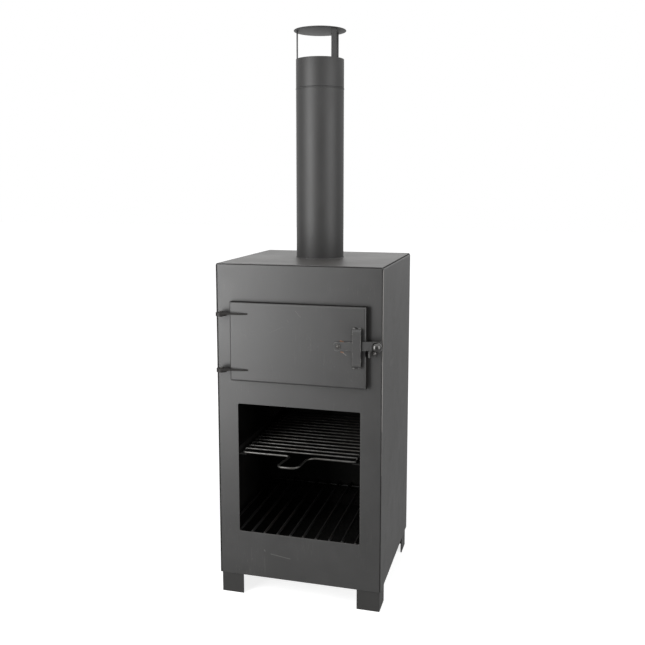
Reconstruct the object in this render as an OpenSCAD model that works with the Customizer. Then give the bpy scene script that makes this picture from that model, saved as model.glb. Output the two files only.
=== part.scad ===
// Free-standing chimenea with a pizza oven, folded from painted sheet steel.
// Millimetres. Z is up, X runs to the right and Y to the back, seen from the front.
// Inside the modules x is counted from the middle of the body, y from its front
// face and z from the ground. place() then moves the origin to the middle of the
// whole outline, on the ground.

/* [Body] */
// Width of the body
body_w = 400; // [340:5:600]
// Depth of the body
body_d = 375; // [365:5:480]
// Height of the body without its legs
body_h = 765; // [755:5:900]
// Thickness of the body's sheets
sheet_t = 1.5; // [1:0.25:2.25]
// Outer radius of the bends between the top and the sides
wrap_bend_r = 6; // [3:0.5:8]
// Outer radius of the bends round the front and back pans
pan_bend_r = 3.5; // [2.5:0.5:5]
// Depth of the flanges of the front and back pans
pan_flange = 15; // [10:1:25]

/* [Legs] */
// Clear height under the body
leg_clear = 50; // [30:5:120]
// Width of each leg's two flanges
leg_flange = 55; // [35:1:80]
// Thickness of the legs
leg_t = 3; // [2:0.5:5]
// Gap between the front and back sheets and the legs
leg_gap = 1.5; // [0.5:0.5:3]
// Length of each leg inside the body
leg_rise = 45; // [30:1:60]
// Outer corner radius of the legs
leg_corner_r = 2; // [1:0.5:3]

/* [Fire opening] */
// Width of the front beside the fire opening
fire_side = 51; // [35:1:80]
// Height of the fire opening
fire_h = 318; // [260:1:330]
// Height of the fire opening's lower edge above the body's lower edge
fire_rise = 112; // [104:1:125]
// Corner radius of both openings
opening_corner_r = 3.5; // [1:0.5:8]

/* [Oven] */
// Overlap of the closed door past each edge of the oven opening
door_lap = 13; // [6:1:20]
// Thickness of the oven floor
floor_t = 2; // [1.5:0.5:4]
// Drop from the oven opening's lower edge to the oven floor
floor_drop = 7; // [4:1:12]
// Smoke slot between the oven floor and the back
smoke_slot = 60; // [30:5:90]
// Width and height of the angle bars under the oven floor
floor_ledge_w = 20; // [12:1:30]
// Thickness of all the angle bars inside the body
ledge_t = 2; // [1.5:0.5:3]
// Gap between the oven opening's sides and the baking stone
stone_beside = 5; // [2:1:20]
// Thickness of the baking stone
stone_t = 12; // [10:1:20]
// Distance from the front face to the baking stone
stone_back = 12; // [5:1:20]
// Distance from the smoke slot to the baking stone
stone_before = 11.5; // [0:0.5:30]

/* [Door] */
// Mean width of the front beside the door
door_side = 37; // [34:1:60]
// Height of the door
door_h = 188; // [184:1:200]
// Height of the door's lower edge above the fire opening
door_rise = 58.5; // [50:0.5:70]
// Distance from the body's middle to the door's middle
door_shift = 1.5; // [0:0.5:3]
// Depth of the door's folded edges
door_depth = 15; // [12:0.5:22]
// Gap between the closed door and the front
door_gap = 1; // [0.5:0.1:2]
// Outer radius of the door's bends
door_bend_r = 4.5; // [2.5:0.5:5]

/* [Hinges] */
// Distance from the door's left edge to the hinge pins
pin_beside = 20; // [18:0.5:26]
// Distance from the front to the hinge pins
pin_out = 18; // [14:0.5:22]
// Radius of the hinge pins
pin_r = 3; // [2:0.25:4]
// Radius of the hinge pins' heads
pin_head_r = 5; // [4.5:0.25:7]
// Height of the hinge pins' heads
pin_head_h = 3; // [2:0.25:4]
// Thickness of the hinge tabs
tab_t = 4; // [2:0.5:5]
// Radius of the round end of the body's tabs
body_tab_r = 12; // [9:0.5:14]
// Radius of the round end of the door's tabs
door_tab_r = 12; // [8:0.5:13]
// Length of the door's tabs on the face of the door
door_tab_l = 45.5; // [30:0.5:60]
// Distance from the door's top edge to the upper hinge
hinge_drop = 29.5; // [20:0.5:50]
// Distance from the door's bottom edge to the lower hinge
hinge_rise = 25.5; // [15:0.5:50]

/* [Latch] */
// Length of the latch bar from its pivot to its free end
bar_l = 98; // [92:1:110]
// Height of the latch bar
bar_h = 20; // [16:0.5:24]
// Corner radius of the latch bar's pivot end
bar_corner_r = 5; // [2:0.5:9]
// Thickness of the latch bar
bar_t = 4; // [3:0.5:5]
// Angle of the latch bar above level, as it rests
bar_tilt = 3.5; // [2.5:0.25:5]
// Distance from the door's right edge to the latch pivot
pivot_in = 63; // [58:1:66]
// Height of the latch pivot above the door's lower edge
pivot_rise = 97; // [60:1:120]
// Radius of the latch pivot bolt
bolt_r = 3; // [2.5:0.25:4]
// Radius of the latch pivot bolt's domed head
bolt_head_r = 6; // [5.5:0.25:8]
// Height of the latch pivot bolt's domed head
bolt_head_h = 3.5; // [2:0.25:5]
// Radius of the washer behind the latch bar
washer_r = 8; // [7:0.25:10]
// Thickness of the washer behind the latch bar
washer_t = 1; // [0.8:0.1:1.6]
// Radius over the corners of the pivot nut
nut_r = 5.8; // [5.5:0.1:7]
// Thickness of the pivot nut
nut_t = 5; // [3:0.5:6]
// Distance from the latch pivot to the middle of the guide strap
guide_off = 43; // [40:1:48]
// Width of the guide strap
guide_w = 20; // [15:1:22]
// Height of the guide strap
guide_h = 90; // [70:1:100]
// Distance from the pivot's height down to the guide's middle
guide_drop = 2.5; // [0:0.5:5]
// Thickness of the guide strap
guide_t = 2.5; // [1.5:0.5:3]
// Clearance between the latch bar and the guide strap
guide_clear = 1.7; // [0.5:0.1:4]
// Radius of the guide strap's bends
guide_bend_r = 8; // [3.5:0.5:9]
// Distance from the latch bar's free end to the knob's stud
knob_in = 6.7; // [5:0.1:12]
// Radius of the ball knob
knob_r = 11.5; // [9:0.5:14]
// Radius of the knob's neck
knob_neck_r = 4.5; // [3:0.25:6]
// Length of the knob's neck
knob_neck_l = 4; // [2:0.5:8]

/* [Catch] */
// Distance from the door's right edge to the catch
catch_beside = 7.5; // [7:0.5:11]
// Thickness of the catch
catch_t = 3; // [2:0.25:3.5]
// Height of the catch
catch_h = 16.5; // [14:0.5:26]
// Length of the catch's foot on the front
catch_foot = 13; // [12.5:0.5:19]
// Depth of the lip in front of the catch's notch
lip_t = 3.5; // [2.5:0.25:4]
// Corner radius of the catch's lower front corner
catch_corner_r = 6; // [1:0.5:8]
// Clearance before and behind the latch bar in the catch's notch
notch_room = 1.2; // [0.6:0.1:2]
// Clearance between the resting latch bar and the lip
lip_clear = 0.6; // [0.4:0.1:1]
// Radius of the catch screw
screw_r = 2.5; // [2:0.25:3]
// Radius of the catch screw's domed head
screw_head_r = 4.5; // [4:0.25:5]
// Height of the catch screw's domed head
screw_head_h = 2.8; // [1.5:0.1:3.5]
// Thickness of the catch screw's nut
screw_nut_t = 4; // [2.5:0.5:5]

/* [Cooking grate] */
// Gap between the fire opening's sides and the cooking grate
grate_beside = 8.5; // [4:0.5:10]
// Gap between the back sheet and the cooking grate
grate_behind = 16; // [5:1:60]
// Distance from the front face to the front rail's middle
grate_back = 5; // [3:0.5:12]
// Height of the cooking grate's rails above the fire opening's lower edge
grate_rise = 197.5; // [120:0.5:220]
// Radius of the frame's rod
rail_r = 2.5; // [2:0.25:4]
// Radius of the cross wires
wire_r = 2; // [1.5:0.25:3]
// Distance from the front rail to the first cross wire
wire_first = 15.5; // [14:0.5:20]
// Spacing of the cross wires
wire_pitch = 23.9; // [10:0.1:40]
// Bend radius of the frame's corners
grate_corner_r = 6; // [5:1:20]
// Width of the handle loop between its legs' middles
loop_w = 48; // [45:1:80]
// Length of the handle loop
loop_l = 76; // [60:1:100]
// Distance from the loop's middle to the grate's middle
loop_shift = 2; // [0:1:10]
// Bend radius where the loop leaves the rail on the left
loop_left_r = 8; // [6:1:14]
// Bend radius where the loop leaves the rail on the right
loop_right_r = 22; // [8:1:24]
// Bend radius of the loop's left front corner
loop_front_left_r = 12; // [8:1:16]
// Bend radius of the loop's right front corner
loop_front_right_r = 18; // [8:1:22]
// Width of the shelf of the runners under the grate
runner_w = 20; // [16:1:26]
// Height of the runners' upstands
runner_h = 15; // [8:1:25]
// Distance from the fire opening's edge to the runners' upstands
runner_beside = 1; // [0.5:0.5:4]

/* [Fire grate] */
// Radius of the fire grate's bars
fire_bar_r = 3; // [3:0.5:5]
// Spacing of the bars
fire_bar_pitch = 32; // [16:0.5:45]
// Distance that the loose fire grate lies to the left of the middle
fire_grate_shift = 6.5; // [0:0.5:12]
// Height of the bars' middles above the fire opening's lower edge
fire_bar_rise = -1.5; // [-8:0.5:3]
// Distance from the front and back faces to the ends of the bars
fire_bar_back = 3; // [2.5:0.5:14]
// Distance from the ends of the bars to the cross bars
cross_bar_in = 5; // [4:1:12]
// Width and height of the angle bars under the fire grate
fire_ledge_w = 20; // [15:1:30]

/* [Chimney] */
// Outer radius of the chimney pipe
pipe_r = 59; // [52:1:66]
// Height of the chimney pipe
pipe_h = 415; // [250:5:900]
// Wall of the pipe, the cowl's collar and the flue spigot
pipe_t = 1.5; // [1:0.25:2.5]
// Distance that the pipe stands to the left of the middle
pipe_shift = 3; // [0:1:10]
// Distance that the pipe stands behind the body's middle
pipe_behind = 20; // [0:1:60]
// Height of the rolled bead round the pipe's upper end
bead_h = 3; // [2:0.5:5]
// Distance that the bead stands out
bead_out = 0.8; // [0.4:0.1:1.5]
// Height of the flue spigot that the pipe stands round
spigot_h = 45; // [25:5:80]
// Width of the spigot's ring under the top sheet
spigot_ring = 12; // [6:1:20]

/* [Cowl] */
// Height of the cowl's collar
collar_h = 69; // [40:1:120]
// Length of the collar's reduced end inside the pipe
reduced_l = 40; // [20:5:70]
// Free height between the collar and the rain disc
disc_gap = 67; // [40:1:110]
// Overhang of the rain disc past the collar
disc_over = 5; // [2:1:40]
// Thickness of the rain disc
disc_t = 2; // [1:0.5:4]
// Width of the three struts
strut_w = 15; // [8:1:20]
// Thickness of the three struts
strut_t = 2; // [1.5:0.5:4]
// Distance from the collar's lower end to the struts
strut_rise = 14; // [3:1:30]
// Angle of the strut at the front right
strut_front_angle = -38; // [-60:1:-20]
// Angle of the strut at the back right
strut_back_angle = 59; // [45:1:80]
// Angle of the strut at the left
strut_left_angle = 190; // [170:1:200]

/* [Fits] */
// Gap between a moving piece and its seat
slide_gap = 0.3; // [0.2:0.05:0.5]
// Radial clearance of a running pin
run_gap = 0.05; // [0.02:0.01:0.1]
// Radial clearance of a fastened pin, bolt or spigot
fast_gap = 0.02; // [0.01:0.01:0.05]
// Clearance of a loose piece between two walls
loose_gap = 0.5; // [0.3:0.1:1]
// Gap between two rods that cross
rod_gap = 0.1; // [0.05:0.05:0.2]

/* [Hidden] */
// Overrun of every cut past the face it opens
over = 1 * sheet_t;
$fn = 64;

steel_dark = [0.30, 0.30, 0.29];
steel_side = [0.36, 0.36, 0.35];
steel_inner = [0.14, 0.14, 0.14];
steel_bright = [0.55, 0.55, 0.54];
rod_grey = [0.45, 0.45, 0.44];
knob_black = [0.08, 0.08, 0.08];
stone_buff = [0.78, 0.70, 0.58];

body_z = leg_clear;
body_top = body_z + body_h;
half_w = body_w / 2;
inner_half_w = half_w - sheet_t;
pan_half_w = inner_half_w - sheet_t;
back_y = body_d;
room_front = sheet_t;
room_back = back_y - sheet_t;

fire_w = body_w - 2 * fire_side;
fire_z = body_z + fire_rise;
door_z = fire_z + fire_h + door_rise;
door_w = body_w - 2 * door_side;
door_left = door_shift - door_w / 2;
door_right = door_left + door_w;
door_face = door_gap + door_depth;
oven_w = door_w - 2 * door_lap;
oven_h = door_h - 2 * door_lap;
oven_z = door_z + door_lap;
oven_floor_top = oven_z - floor_drop;
floor_end = room_back - smoke_slot;
stone_w = oven_w - 2 * stone_beside;

pin_x = door_left - pin_beside;
hinge_zs = [door_z + door_h - hinge_drop, door_z + hinge_rise];

pivot_x = door_right - pivot_in;
pivot_z = door_z + pivot_rise;
bar_out = door_face + washer_t + slide_gap;
bar_face = bar_out + bar_t;
guide_room = bar_face + guide_clear - door_face;
guide_z = pivot_z - guide_drop - guide_h / 2;
knob_off = bar_l - knob_in;
knob_y = bar_face + knob_neck_l + sqrt(pow(knob_r, 2) - pow(knob_neck_r, 2));

catch_x = door_right + catch_beside;
catch_top = pivot_z + (catch_x - pivot_x) * tan(bar_tilt) - bar_h / 2 / cos(bar_tilt) - lip_clear;
catch_out = bar_face + notch_room + lip_t;
notch_z = pivot_z - bar_h / 2 - slide_gap;
screw_x = catch_x + catch_t + (catch_foot - catch_t) / 2;
screw_z = catch_top - catch_h / 2;

grate_z = fire_z + grate_rise;
rail_half = fire_w / 2 - grate_beside - rail_r;
grate_l = room_back - grate_behind - rail_r - grate_back;
wire_n = floor((grate_l - wire_first - grate_corner_r) / wire_pitch) + 1;
wire_z = grate_z + rail_r + wire_r + rod_gap;
loop_left = -loop_shift - loop_w / 2;
loop_right = loop_left + loop_w;
runner_top = grate_z - rail_r - slide_gap;
runner_x = fire_w / 2 + runner_beside;

fire_bar_z = fire_z + fire_bar_rise;
fire_bar_room = pan_half_w - loose_gap - fire_grate_shift - fire_bar_r;
fire_bar_n = floor(2 * fire_bar_room / fire_bar_pitch) + 1;
fire_ledge_top = fire_bar_z - 3 * fire_bar_r - 2 * rod_gap;

pipe_y = body_d / 2 + pipe_behind;
pipe_top = body_top + pipe_h;
pipe_bore = pipe_r - pipe_t;
collar_z = pipe_top + slide_gap;
collar_top = collar_z + collar_h;
reduced_r = pipe_bore - slide_gap;
spigot_r = pipe_bore - slide_gap;
strut_out = sqrt(pow(pipe_bore - fast_gap, 2) - pow(strut_w / 2, 2));
disc_z = collar_top + disc_gap;

// Reach of the whole outline, which sets the origin
reach_left = max(half_w, body_tab_r - pin_x);
reach_right = max(half_w, pivot_x + knob_off * cos(bar_tilt) + knob_r);
reach_front = loop_l - grate_back + rail_r;
origin_x = (reach_right - reach_left) / 2;
origin_y = (back_y - reach_front) / 2;

// Moves a piece from the body's own places to the part's frame
module place() translate([-origin_x, -origin_y, 0]) children();

// Turns an outline drawn in x and z into a bar that runs back from y = 0
module run_back(length) translate([0, length, 0]) rotate([90, 0, 0]) linear_extrude(length) children();

// Turns an outline drawn in y and z into a bar that runs right from x = 0
module run_right(length) rotate([90, 0, 90]) linear_extrude(length) children();

// What a round corner takes away from a square one, with the corner at the origin
module corner_waste(r) difference() {
    translate([-over, -over]) square(r + over);
    translate([r, r]) circle(r);
}

// Rectangle with its own radius at each corner, counted from the lower left anticlockwise
module rounded_rect(size, radii) difference() {
    square(size);
    for (i = [0:3]) if (radii[i] > 0)
        translate([i == 1 || i == 2 ? size[0] : 0, i > 1 ? size[1] : 0])
            rotate(90 * i) corner_waste(radii[i]);
}

// Full block of a folded pan: its face lies at y = 0, and its edges are bent back
module pan_block(size, r, r_low, r_face) intersection() {
    linear_extrude(size[2]) rounded_rect([size[0], size[1]], [r, r, 0, 0]);
    run_right(size[0]) rounded_rect([size[1], size[2]], [r_low, 0, 0, r]);
    run_back(size[1]) rounded_rect([size[0], size[2]], [0, 0, r_face, r_face]);
}

// Folded pan. Without a low flange its lower edge is cut off plain.
module pan(size, t, r, r_face, low_flange) {
    low = low_flange ? t : -over;
    difference() {
        pan_block(size, r, low_flange ? r : 0, r_face);
        translate([t, t, low])
            pan_block(
                [size[0] - 2 * t, size[1] + over, size[2] - t - low],
                r - t, low_flange ? r - t : 0, max(0, r_face - t)
            );
    }
}

// Opening with round corners through a front sheet
module sheet_opening(w, h, t) translate([-w / 2, -over, 0])
    run_back(t + 2 * over) rounded_rect([w, h], [for (i = [0:3]) opening_corner_r]);

// Angle bar's outline: its outer corner is at the origin
module angle_outline(a, b, t) {
    square([a, t]);
    square([t, b]);
}

// Low dome of a screw's or rivet's head, standing on the plane z = 0
module dome(r, h) {
    ball_r = (r * r + h * h) / (2 * h);
    rotate_extrude() intersection() {
        translate([0, h - ball_r]) circle(ball_r);
        square([r, h]);
    }
}

// Round rod between two points at the height of the xy plane
module rod(from, to, r) {
    run = to - from;
    translate([from[0], from[1], 0]) rotate([0, 0, atan2(run[1], run[0])])
        rotate([0, 90, 0]) cylinder(h = norm(run), r = r);
}

// Bend of a round rod about a point, from one angle to the next
module rod_bend(centre, bend_r, start, sweep, r) translate([centre[0], centre[1], 0])
    rotate([0, 0, start]) rotate_extrude(angle = sweep) translate([bend_r, 0]) circle(r);

// Faces a piece drawn along Z to the front, at a distance before the front face
module facing_front(x, out, z) translate([x, -out, z]) rotate([90, 0, 0]) children();

// Sides and top, folded from one sheet
module body_wrap() place() color(steel_side) difference() {
    translate([-half_w, 0, body_z])
        run_back(body_d) rounded_rect([body_w, body_h], [0, 0, wrap_bend_r, wrap_bend_r]);
    translate([-inner_half_w, -over, body_z - over])
        run_back(body_d + 2 * over) rounded_rect(
            [2 * inner_half_w, body_h + over - sheet_t],
            [0, 0, wrap_bend_r - sheet_t, wrap_bend_r - sheet_t]
        );
    translate([-pipe_shift, pipe_y, body_top - sheet_t - over])
        cylinder(h = sheet_t + 2 * over, r = spigot_r + fast_gap);
}

// Pan that closes the body, with its face on the plane y = 0
module body_pan() translate([-inner_half_w, 0, body_z]) pan(
    [2 * inner_half_w, pan_flange, body_h - sheet_t],
    sheet_t, pan_bend_r, wrap_bend_r - sheet_t, false
);

module front_panel() place() color(steel_dark) difference() {
    body_pan();
    translate([0, 0, fire_z]) sheet_opening(fire_w, fire_h, sheet_t);
    translate([door_shift, 0, oven_z]) sheet_opening(oven_w, oven_h, sheet_t);
    facing_front(screw_x, over, screw_z)
        translate([0, 0, -sheet_t - 2 * over]) cylinder(h = sheet_t + 2 * over, r = screw_r + fast_gap);
}

module back_panel() place() color(steel_dark)
    translate([0, back_y, 0]) mirror([0, 1, 0]) body_pan();

// Ash floor that lies on the tops of the four legs
module bottom_plate() place() color(steel_inner) {
    w = 2 * (pan_half_w - loose_gap);
    d = room_back - room_front - 2 * loose_gap;
    translate([-w / 2, room_front + loose_gap, body_z + leg_rise])
        linear_extrude(sheet_t) rounded_rect([w, d], [for (i = [0:3]) pan_bend_r]);
}

// Leg of angle section, drawn for the front left corner
module leg() translate([-pan_half_w, room_front + leg_gap, 0])
    linear_extrude(body_z + leg_rise) difference() {
        rounded_rect([leg_flange, leg_flange], [leg_corner_r, 0, 0, 0]);
        translate([leg_t, leg_t]) square(leg_flange);
    }

module leg_front_left() place() color(steel_dark) leg();
module leg_front_right() place() color(steel_dark) mirror([1, 0, 0]) leg();
module leg_rear_left() place() color(steel_dark) translate([0, back_y, 0]) mirror([0, 1, 0]) leg();
module leg_rear_right() place() color(steel_dark)
    translate([0, back_y, 0]) mirror([0, 1, 0]) mirror([1, 0, 0]) leg();

// Baffle between the fire and the oven, with a smoke slot behind it
module oven_floor() place() color(steel_inner) {
    w = 2 * (pan_half_w - loose_gap);
    translate([-w / 2, room_front + loose_gap, oven_floor_top - floor_t]) linear_extrude(floor_t)
        rounded_rect([w, floor_end - room_front - loose_gap], [pan_bend_r, pan_bend_r, 0, 0]);
}

// Angle bar on the left side sheet, under the oven floor
module floor_ledge() translate([-inner_half_w, pan_flange + loose_gap, oven_floor_top - floor_t])
    run_back(floor_end - pan_flange - loose_gap)
        mirror([0, 1]) angle_outline(floor_ledge_w, floor_ledge_w, ledge_t);

module oven_floor_ledge_left() place() color(steel_inner) floor_ledge();
module oven_floor_ledge_right() place() color(steel_inner) mirror([1, 0, 0]) floor_ledge();

module pizza_stone() place() color(stone_buff)
    translate([door_shift - stone_w / 2, stone_back, oven_floor_top])
        cube([stone_w, floor_end - stone_before - stone_back, stone_t]);

// Angle bar from front to back that carries the cooking grate's left rail
module runner() translate([-runner_x, room_front, runner_top - ledge_t]) run_back(room_back - room_front) {
    square([runner_w, ledge_t]);
    translate([-ledge_t, 0]) square([ledge_t, runner_h]);
}

module grate_runner_left() place() color(steel_inner) runner();
module grate_runner_right() place() color(steel_inner) mirror([1, 0, 0]) runner();

// Frame of the cooking grate, one rod bent round with the handle loop in its front rail
module cooking_grate_frame() place() color(rod_grey) translate([0, grate_back, grate_z]) {
    c = grate_corner_r;
    side = rail_half;
    left_end = -loop_l + loop_front_left_r;
    right_end = -loop_l + loop_front_right_r;
    rod([-side, c], [-side, grate_l - c], rail_r);
    rod([side, c], [side, grate_l - c], rail_r);
    rod([-side + c, grate_l], [side - c, grate_l], rail_r);
    rod([-side + c, 0], [loop_left - loop_left_r, 0], rail_r);
    rod([loop_right + loop_right_r, 0], [side - c, 0], rail_r);
    rod([loop_left, -loop_left_r], [loop_left, left_end], rail_r);
    rod([loop_right, -loop_right_r], [loop_right, right_end], rail_r);
    rod([loop_left + loop_front_left_r, -loop_l], [loop_right - loop_front_right_r, -loop_l], rail_r);
    rod_bend([-side + c, c], c, 180, 90, rail_r);
    rod_bend([side - c, c], c, 270, 90, rail_r);
    rod_bend([side - c, grate_l - c], c, 0, 90, rail_r);
    rod_bend([-side + c, grate_l - c], c, 90, 90, rail_r);
    rod_bend([loop_left - loop_left_r, -loop_left_r], loop_left_r, 0, 90, rail_r);
    rod_bend([loop_right + loop_right_r, -loop_right_r], loop_right_r, 90, 90, rail_r);
    rod_bend([loop_left + loop_front_left_r, left_end], loop_front_left_r, 180, 90, rail_r);
    rod_bend([loop_right - loop_front_right_r, right_end], loop_front_right_r, 270, 90, rail_r);
}

// Cross wires welded on top of the frame's side rails
module cooking_grate_wires() place() color(rod_grey)
    for (i = [0:wire_n - 1]) translate([-rail_half, grate_back + wire_first + i * wire_pitch, wire_z])
        rotate([0, 90, 0]) cylinder(h = 2 * rail_half, r = wire_r);

module fire_grate_bars() place() color(steel_inner)
    for (i = [0:fire_bar_n - 1])
        translate([-fire_grate_shift + (i - (fire_bar_n - 1) / 2) * fire_bar_pitch, fire_bar_back, fire_bar_z])
            rotate([-90, 0, 0]) cylinder(h = body_d - 2 * fire_bar_back, r = fire_bar_r);

// Two round bars welded under the long bars
module fire_grate_cross_bars() place() color(steel_inner) {
    length = (fire_bar_n - 1) * fire_bar_pitch + 2 * fire_bar_r;
    for (y = [fire_bar_back + cross_bar_in, body_d - fire_bar_back - cross_bar_in])
        translate([-fire_grate_shift - length / 2, y, fire_bar_z - 2 * fire_bar_r - rod_gap])
            rotate([0, 90, 0]) cylinder(h = length, r = fire_bar_r);
}

// Angle bar on the inside of the front, under the fire grate's front cross bar
module fire_ledge() {
    // The ends stop before the inner bends of the front pan
    half = inner_half_w - pan_bend_r - loose_gap;
    translate([-half, room_front, fire_ledge_top]) run_right(2 * half)
        mirror([0, 1]) angle_outline(fire_ledge_w, fire_ledge_w, ledge_t);
}

module fire_grate_ledge_front() place() color(steel_inner) fire_ledge();
module fire_grate_ledge_rear() place() color(steel_inner)
    translate([0, back_y, 0]) mirror([0, 1, 0]) fire_ledge();

// Spigot through the top sheet, with a ring welded under it
module flue_spigot() place() color(steel_inner)
    translate([-pipe_shift, pipe_y, body_top - sheet_t]) rotate_extrude() {
        translate([spigot_r - pipe_t, -pipe_t]) square([pipe_t, spigot_h + sheet_t + pipe_t]);
        translate([spigot_r - pipe_t, -pipe_t]) square([pipe_t + spigot_ring, pipe_t]);
    }

// Straight pipe that stands round the spigot, with a rolled bead at its upper end
module chimney_pipe() place() color(steel_dark) translate([-pipe_shift, pipe_y, body_top]) rotate_extrude() {
    translate([pipe_bore, 0]) square([pipe_t, pipe_h]);
    translate([pipe_bore, pipe_h - bead_h]) square([pipe_t + bead_out, bead_h]);
}

// Collar of the cowl, with a reduced end that plugs into the pipe
module cowl_collar() place() color(steel_dark) translate([-pipe_shift, pipe_y, collar_z]) rotate_extrude() {
    translate([pipe_bore, 0]) square([pipe_t, collar_h]);
    translate([reduced_r - pipe_t, -reduced_l]) square([pipe_t, reduced_l + pipe_t]);
    translate([reduced_r - pipe_t, 0]) square([pipe_r - reduced_r + pipe_t, pipe_t]);
}

// Three flat struts against the inside of the collar
module cowl_struts() place() color(steel_dark)
    for (a = [strut_front_angle, strut_back_angle, strut_left_angle])
        translate([-pipe_shift, pipe_y, collar_z + strut_rise]) rotate([0, 0, a])
            translate([strut_out - strut_t, -strut_w / 2, 0]) cube([strut_t, strut_w, disc_z - collar_z - strut_rise]);

module cowl_disc() place() color(steel_dark)
    translate([-pipe_shift, pipe_y, disc_z]) cylinder(h = disc_t, r = pipe_r + disc_over);

// Oven door, a pan with all four edges folded back
module door_panel() place() color(steel_dark) difference() {
    translate([door_left, -door_face, door_z])
        pan([door_w, door_depth, door_h], sheet_t, door_bend_r, 0, true);
    facing_front(pivot_x, door_face - sheet_t - over, pivot_z)
        cylinder(h = sheet_t + 2 * over, r = bolt_r + fast_gap);
}

// Tab on the front sheet, drawn with its upper face at z = 0
module body_tab() translate([0, 0, -tab_t]) linear_extrude(tab_t) difference() {
    union() {
        translate([pin_x - body_tab_r, -pin_out]) square([2 * body_tab_r, pin_out]);
        translate([pin_x, -pin_out]) circle(body_tab_r);
    }
    translate([pin_x, -pin_out]) circle(pin_r + fast_gap);
}

// Wedge-shaped tab on the door's face, drawn with its lower face at z = 0
module door_tab() {
    tip = [door_left + door_tab_l, -door_face];
    pin = [pin_x, -pin_out];
    arm = tip - pin;
    // Direction from the pin in which the front edge touches the round end
    front_a = atan2(arm[1], arm[0]) - acos(door_tab_r / norm(arm));
    front_touch = pin + door_tab_r * [cos(front_a), sin(front_a)];
    heel = [door_left + door_bend_r, -door_face];
    reach = heel - pin;
    back_a = atan2(reach[1], reach[0]) + acos(door_tab_r / norm(reach));
    back_touch = pin + door_tab_r * [cos(back_a), sin(back_a)];
    linear_extrude(tab_t) difference() {
        union() {
            polygon([tip, heel, back_touch, pin, front_touch]);
            translate(pin) circle(door_tab_r);
        }
        translate(pin) circle(pin_r + run_gap);
        translate([door_left - slide_gap, -door_face]) square([door_w, door_face]);
    }
}

// Rivet through both tabs, drawn with the body tab's upper face at z = 0
module hinge_pin() translate([pin_x, -pin_out, 0]) {
    translate([0, 0, -tab_t]) {
        cylinder(h = 2 * (slide_gap + tab_t), r = pin_r);
        mirror([0, 0, 1]) dome(pin_head_r, pin_head_h);
    }
    translate([0, 0, slide_gap + tab_t + slide_gap]) dome(pin_head_r, pin_head_h);
}

module hinge_body_tab_upper() place() color(steel_dark) translate([0, 0, hinge_zs[0]]) body_tab();
module hinge_body_tab_lower() place() color(steel_dark) translate([0, 0, hinge_zs[1]]) body_tab();
module hinge_door_tab_upper() place() color(steel_dark)
    translate([0, 0, hinge_zs[0] + slide_gap]) door_tab();
module hinge_door_tab_lower() place() color(steel_dark)
    translate([0, 0, hinge_zs[1] + slide_gap]) door_tab();
module hinge_pins() place() color(steel_bright) for (z = hinge_zs) translate([0, 0, z]) hinge_pin();

// Turns a piece of the latch about the pivot, as it rests
module latched() translate([pivot_x, 0, pivot_z]) rotate([0, -bar_tilt, 0]) children();

// Flat bar on its pivot
module latch_bar() place() color(steel_dark) latched()
    translate([0, -bar_out, 0]) rotate([90, 0, 0]) linear_extrude(bar_t) difference() {
        translate([-bar_h / 2, -bar_h / 2])
            rounded_rect([bar_l + bar_h / 2, bar_h], [bar_corner_r, 0, 0, bar_corner_r]);
        circle(bolt_r + run_gap);
        translate([knob_off, 0]) circle(bolt_r + fast_gap);
    }

// Ball knob with its neck, and a stud riveted through the bar
module latch_knob() place() color(knob_black) latched() translate([knob_off, -bar_out, 0]) rotate([90, 0, 0]) {
    cylinder(h = knob_y - bar_out, r = bolt_r);
    translate([0, 0, bar_t]) cylinder(h = knob_y - bar_face, r = knob_neck_r);
    translate([0, 0, knob_y - bar_out]) sphere(knob_r);
}

module latch_pivot_bolt() place() color(steel_bright)
    facing_front(pivot_x, door_face - sheet_t - nut_t - sheet_t, pivot_z) {
        length = 2 * sheet_t + nut_t + washer_t + bar_t + 2 * slide_gap;
        cylinder(h = length, r = bolt_r);
        translate([0, 0, length]) dome(bolt_head_r, bolt_head_h);
    }

module latch_pivot_washer() place() color(steel_bright)
    facing_front(pivot_x, door_face, pivot_z) difference() {
        cylinder(h = washer_t, r = washer_r);
        translate([0, 0, -over]) cylinder(h = washer_t + 2 * over, r = bolt_r + fast_gap);
    }

// Hexagon nut with its seat on the plane z = 0
module hex_nut(r, t, bore) difference() {
    cylinder(h = t, r = r, $fn = 6);
    translate([0, 0, -over]) cylinder(h = t + 2 * over, r = bore + fast_gap);
}

module latch_pivot_nut() place() color(steel_bright)
    facing_front(pivot_x, door_face - sheet_t, pivot_z) mirror([0, 0, 1]) hex_nut(nut_r, nut_t, bolt_r);

// Strap over the latch bar, with both ends bent back to the door
module latch_guide() place() color(steel_dark)
    translate([pivot_x + guide_off - guide_w / 2, -door_face - guide_room - guide_t, guide_z])
        run_right(guide_w) difference() {
            rounded_rect([guide_room + guide_t, guide_h], [guide_bend_r, 0, 0, guide_bend_r]);
            translate([guide_t, guide_t]) rounded_rect(
                [guide_room + over, guide_h - 2 * guide_t],
                [guide_bend_r - guide_t, 0, 0, guide_bend_r - guide_t]
            );
        }

// Bracket whose notch the bar drops into, and whose lip holds it
module latch_catch() place() color(steel_dark) difference() {
    union() {
        translate([catch_x, -catch_out, catch_top - catch_h])
            run_right(catch_t) rounded_rect([catch_out, catch_h], [catch_corner_r, 0, 0, 0]);
        translate([catch_x, -catch_t, catch_top - catch_h]) cube([catch_foot, catch_t, catch_h]);
    }
    translate([catch_x - over, -bar_face - notch_room, notch_z])
        cube([catch_t + 2 * over, bar_t + 2 * notch_room, catch_h]);
    facing_front(screw_x, -over, screw_z) cylinder(h = catch_t + 2 * over, r = screw_r + fast_gap);
}

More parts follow.
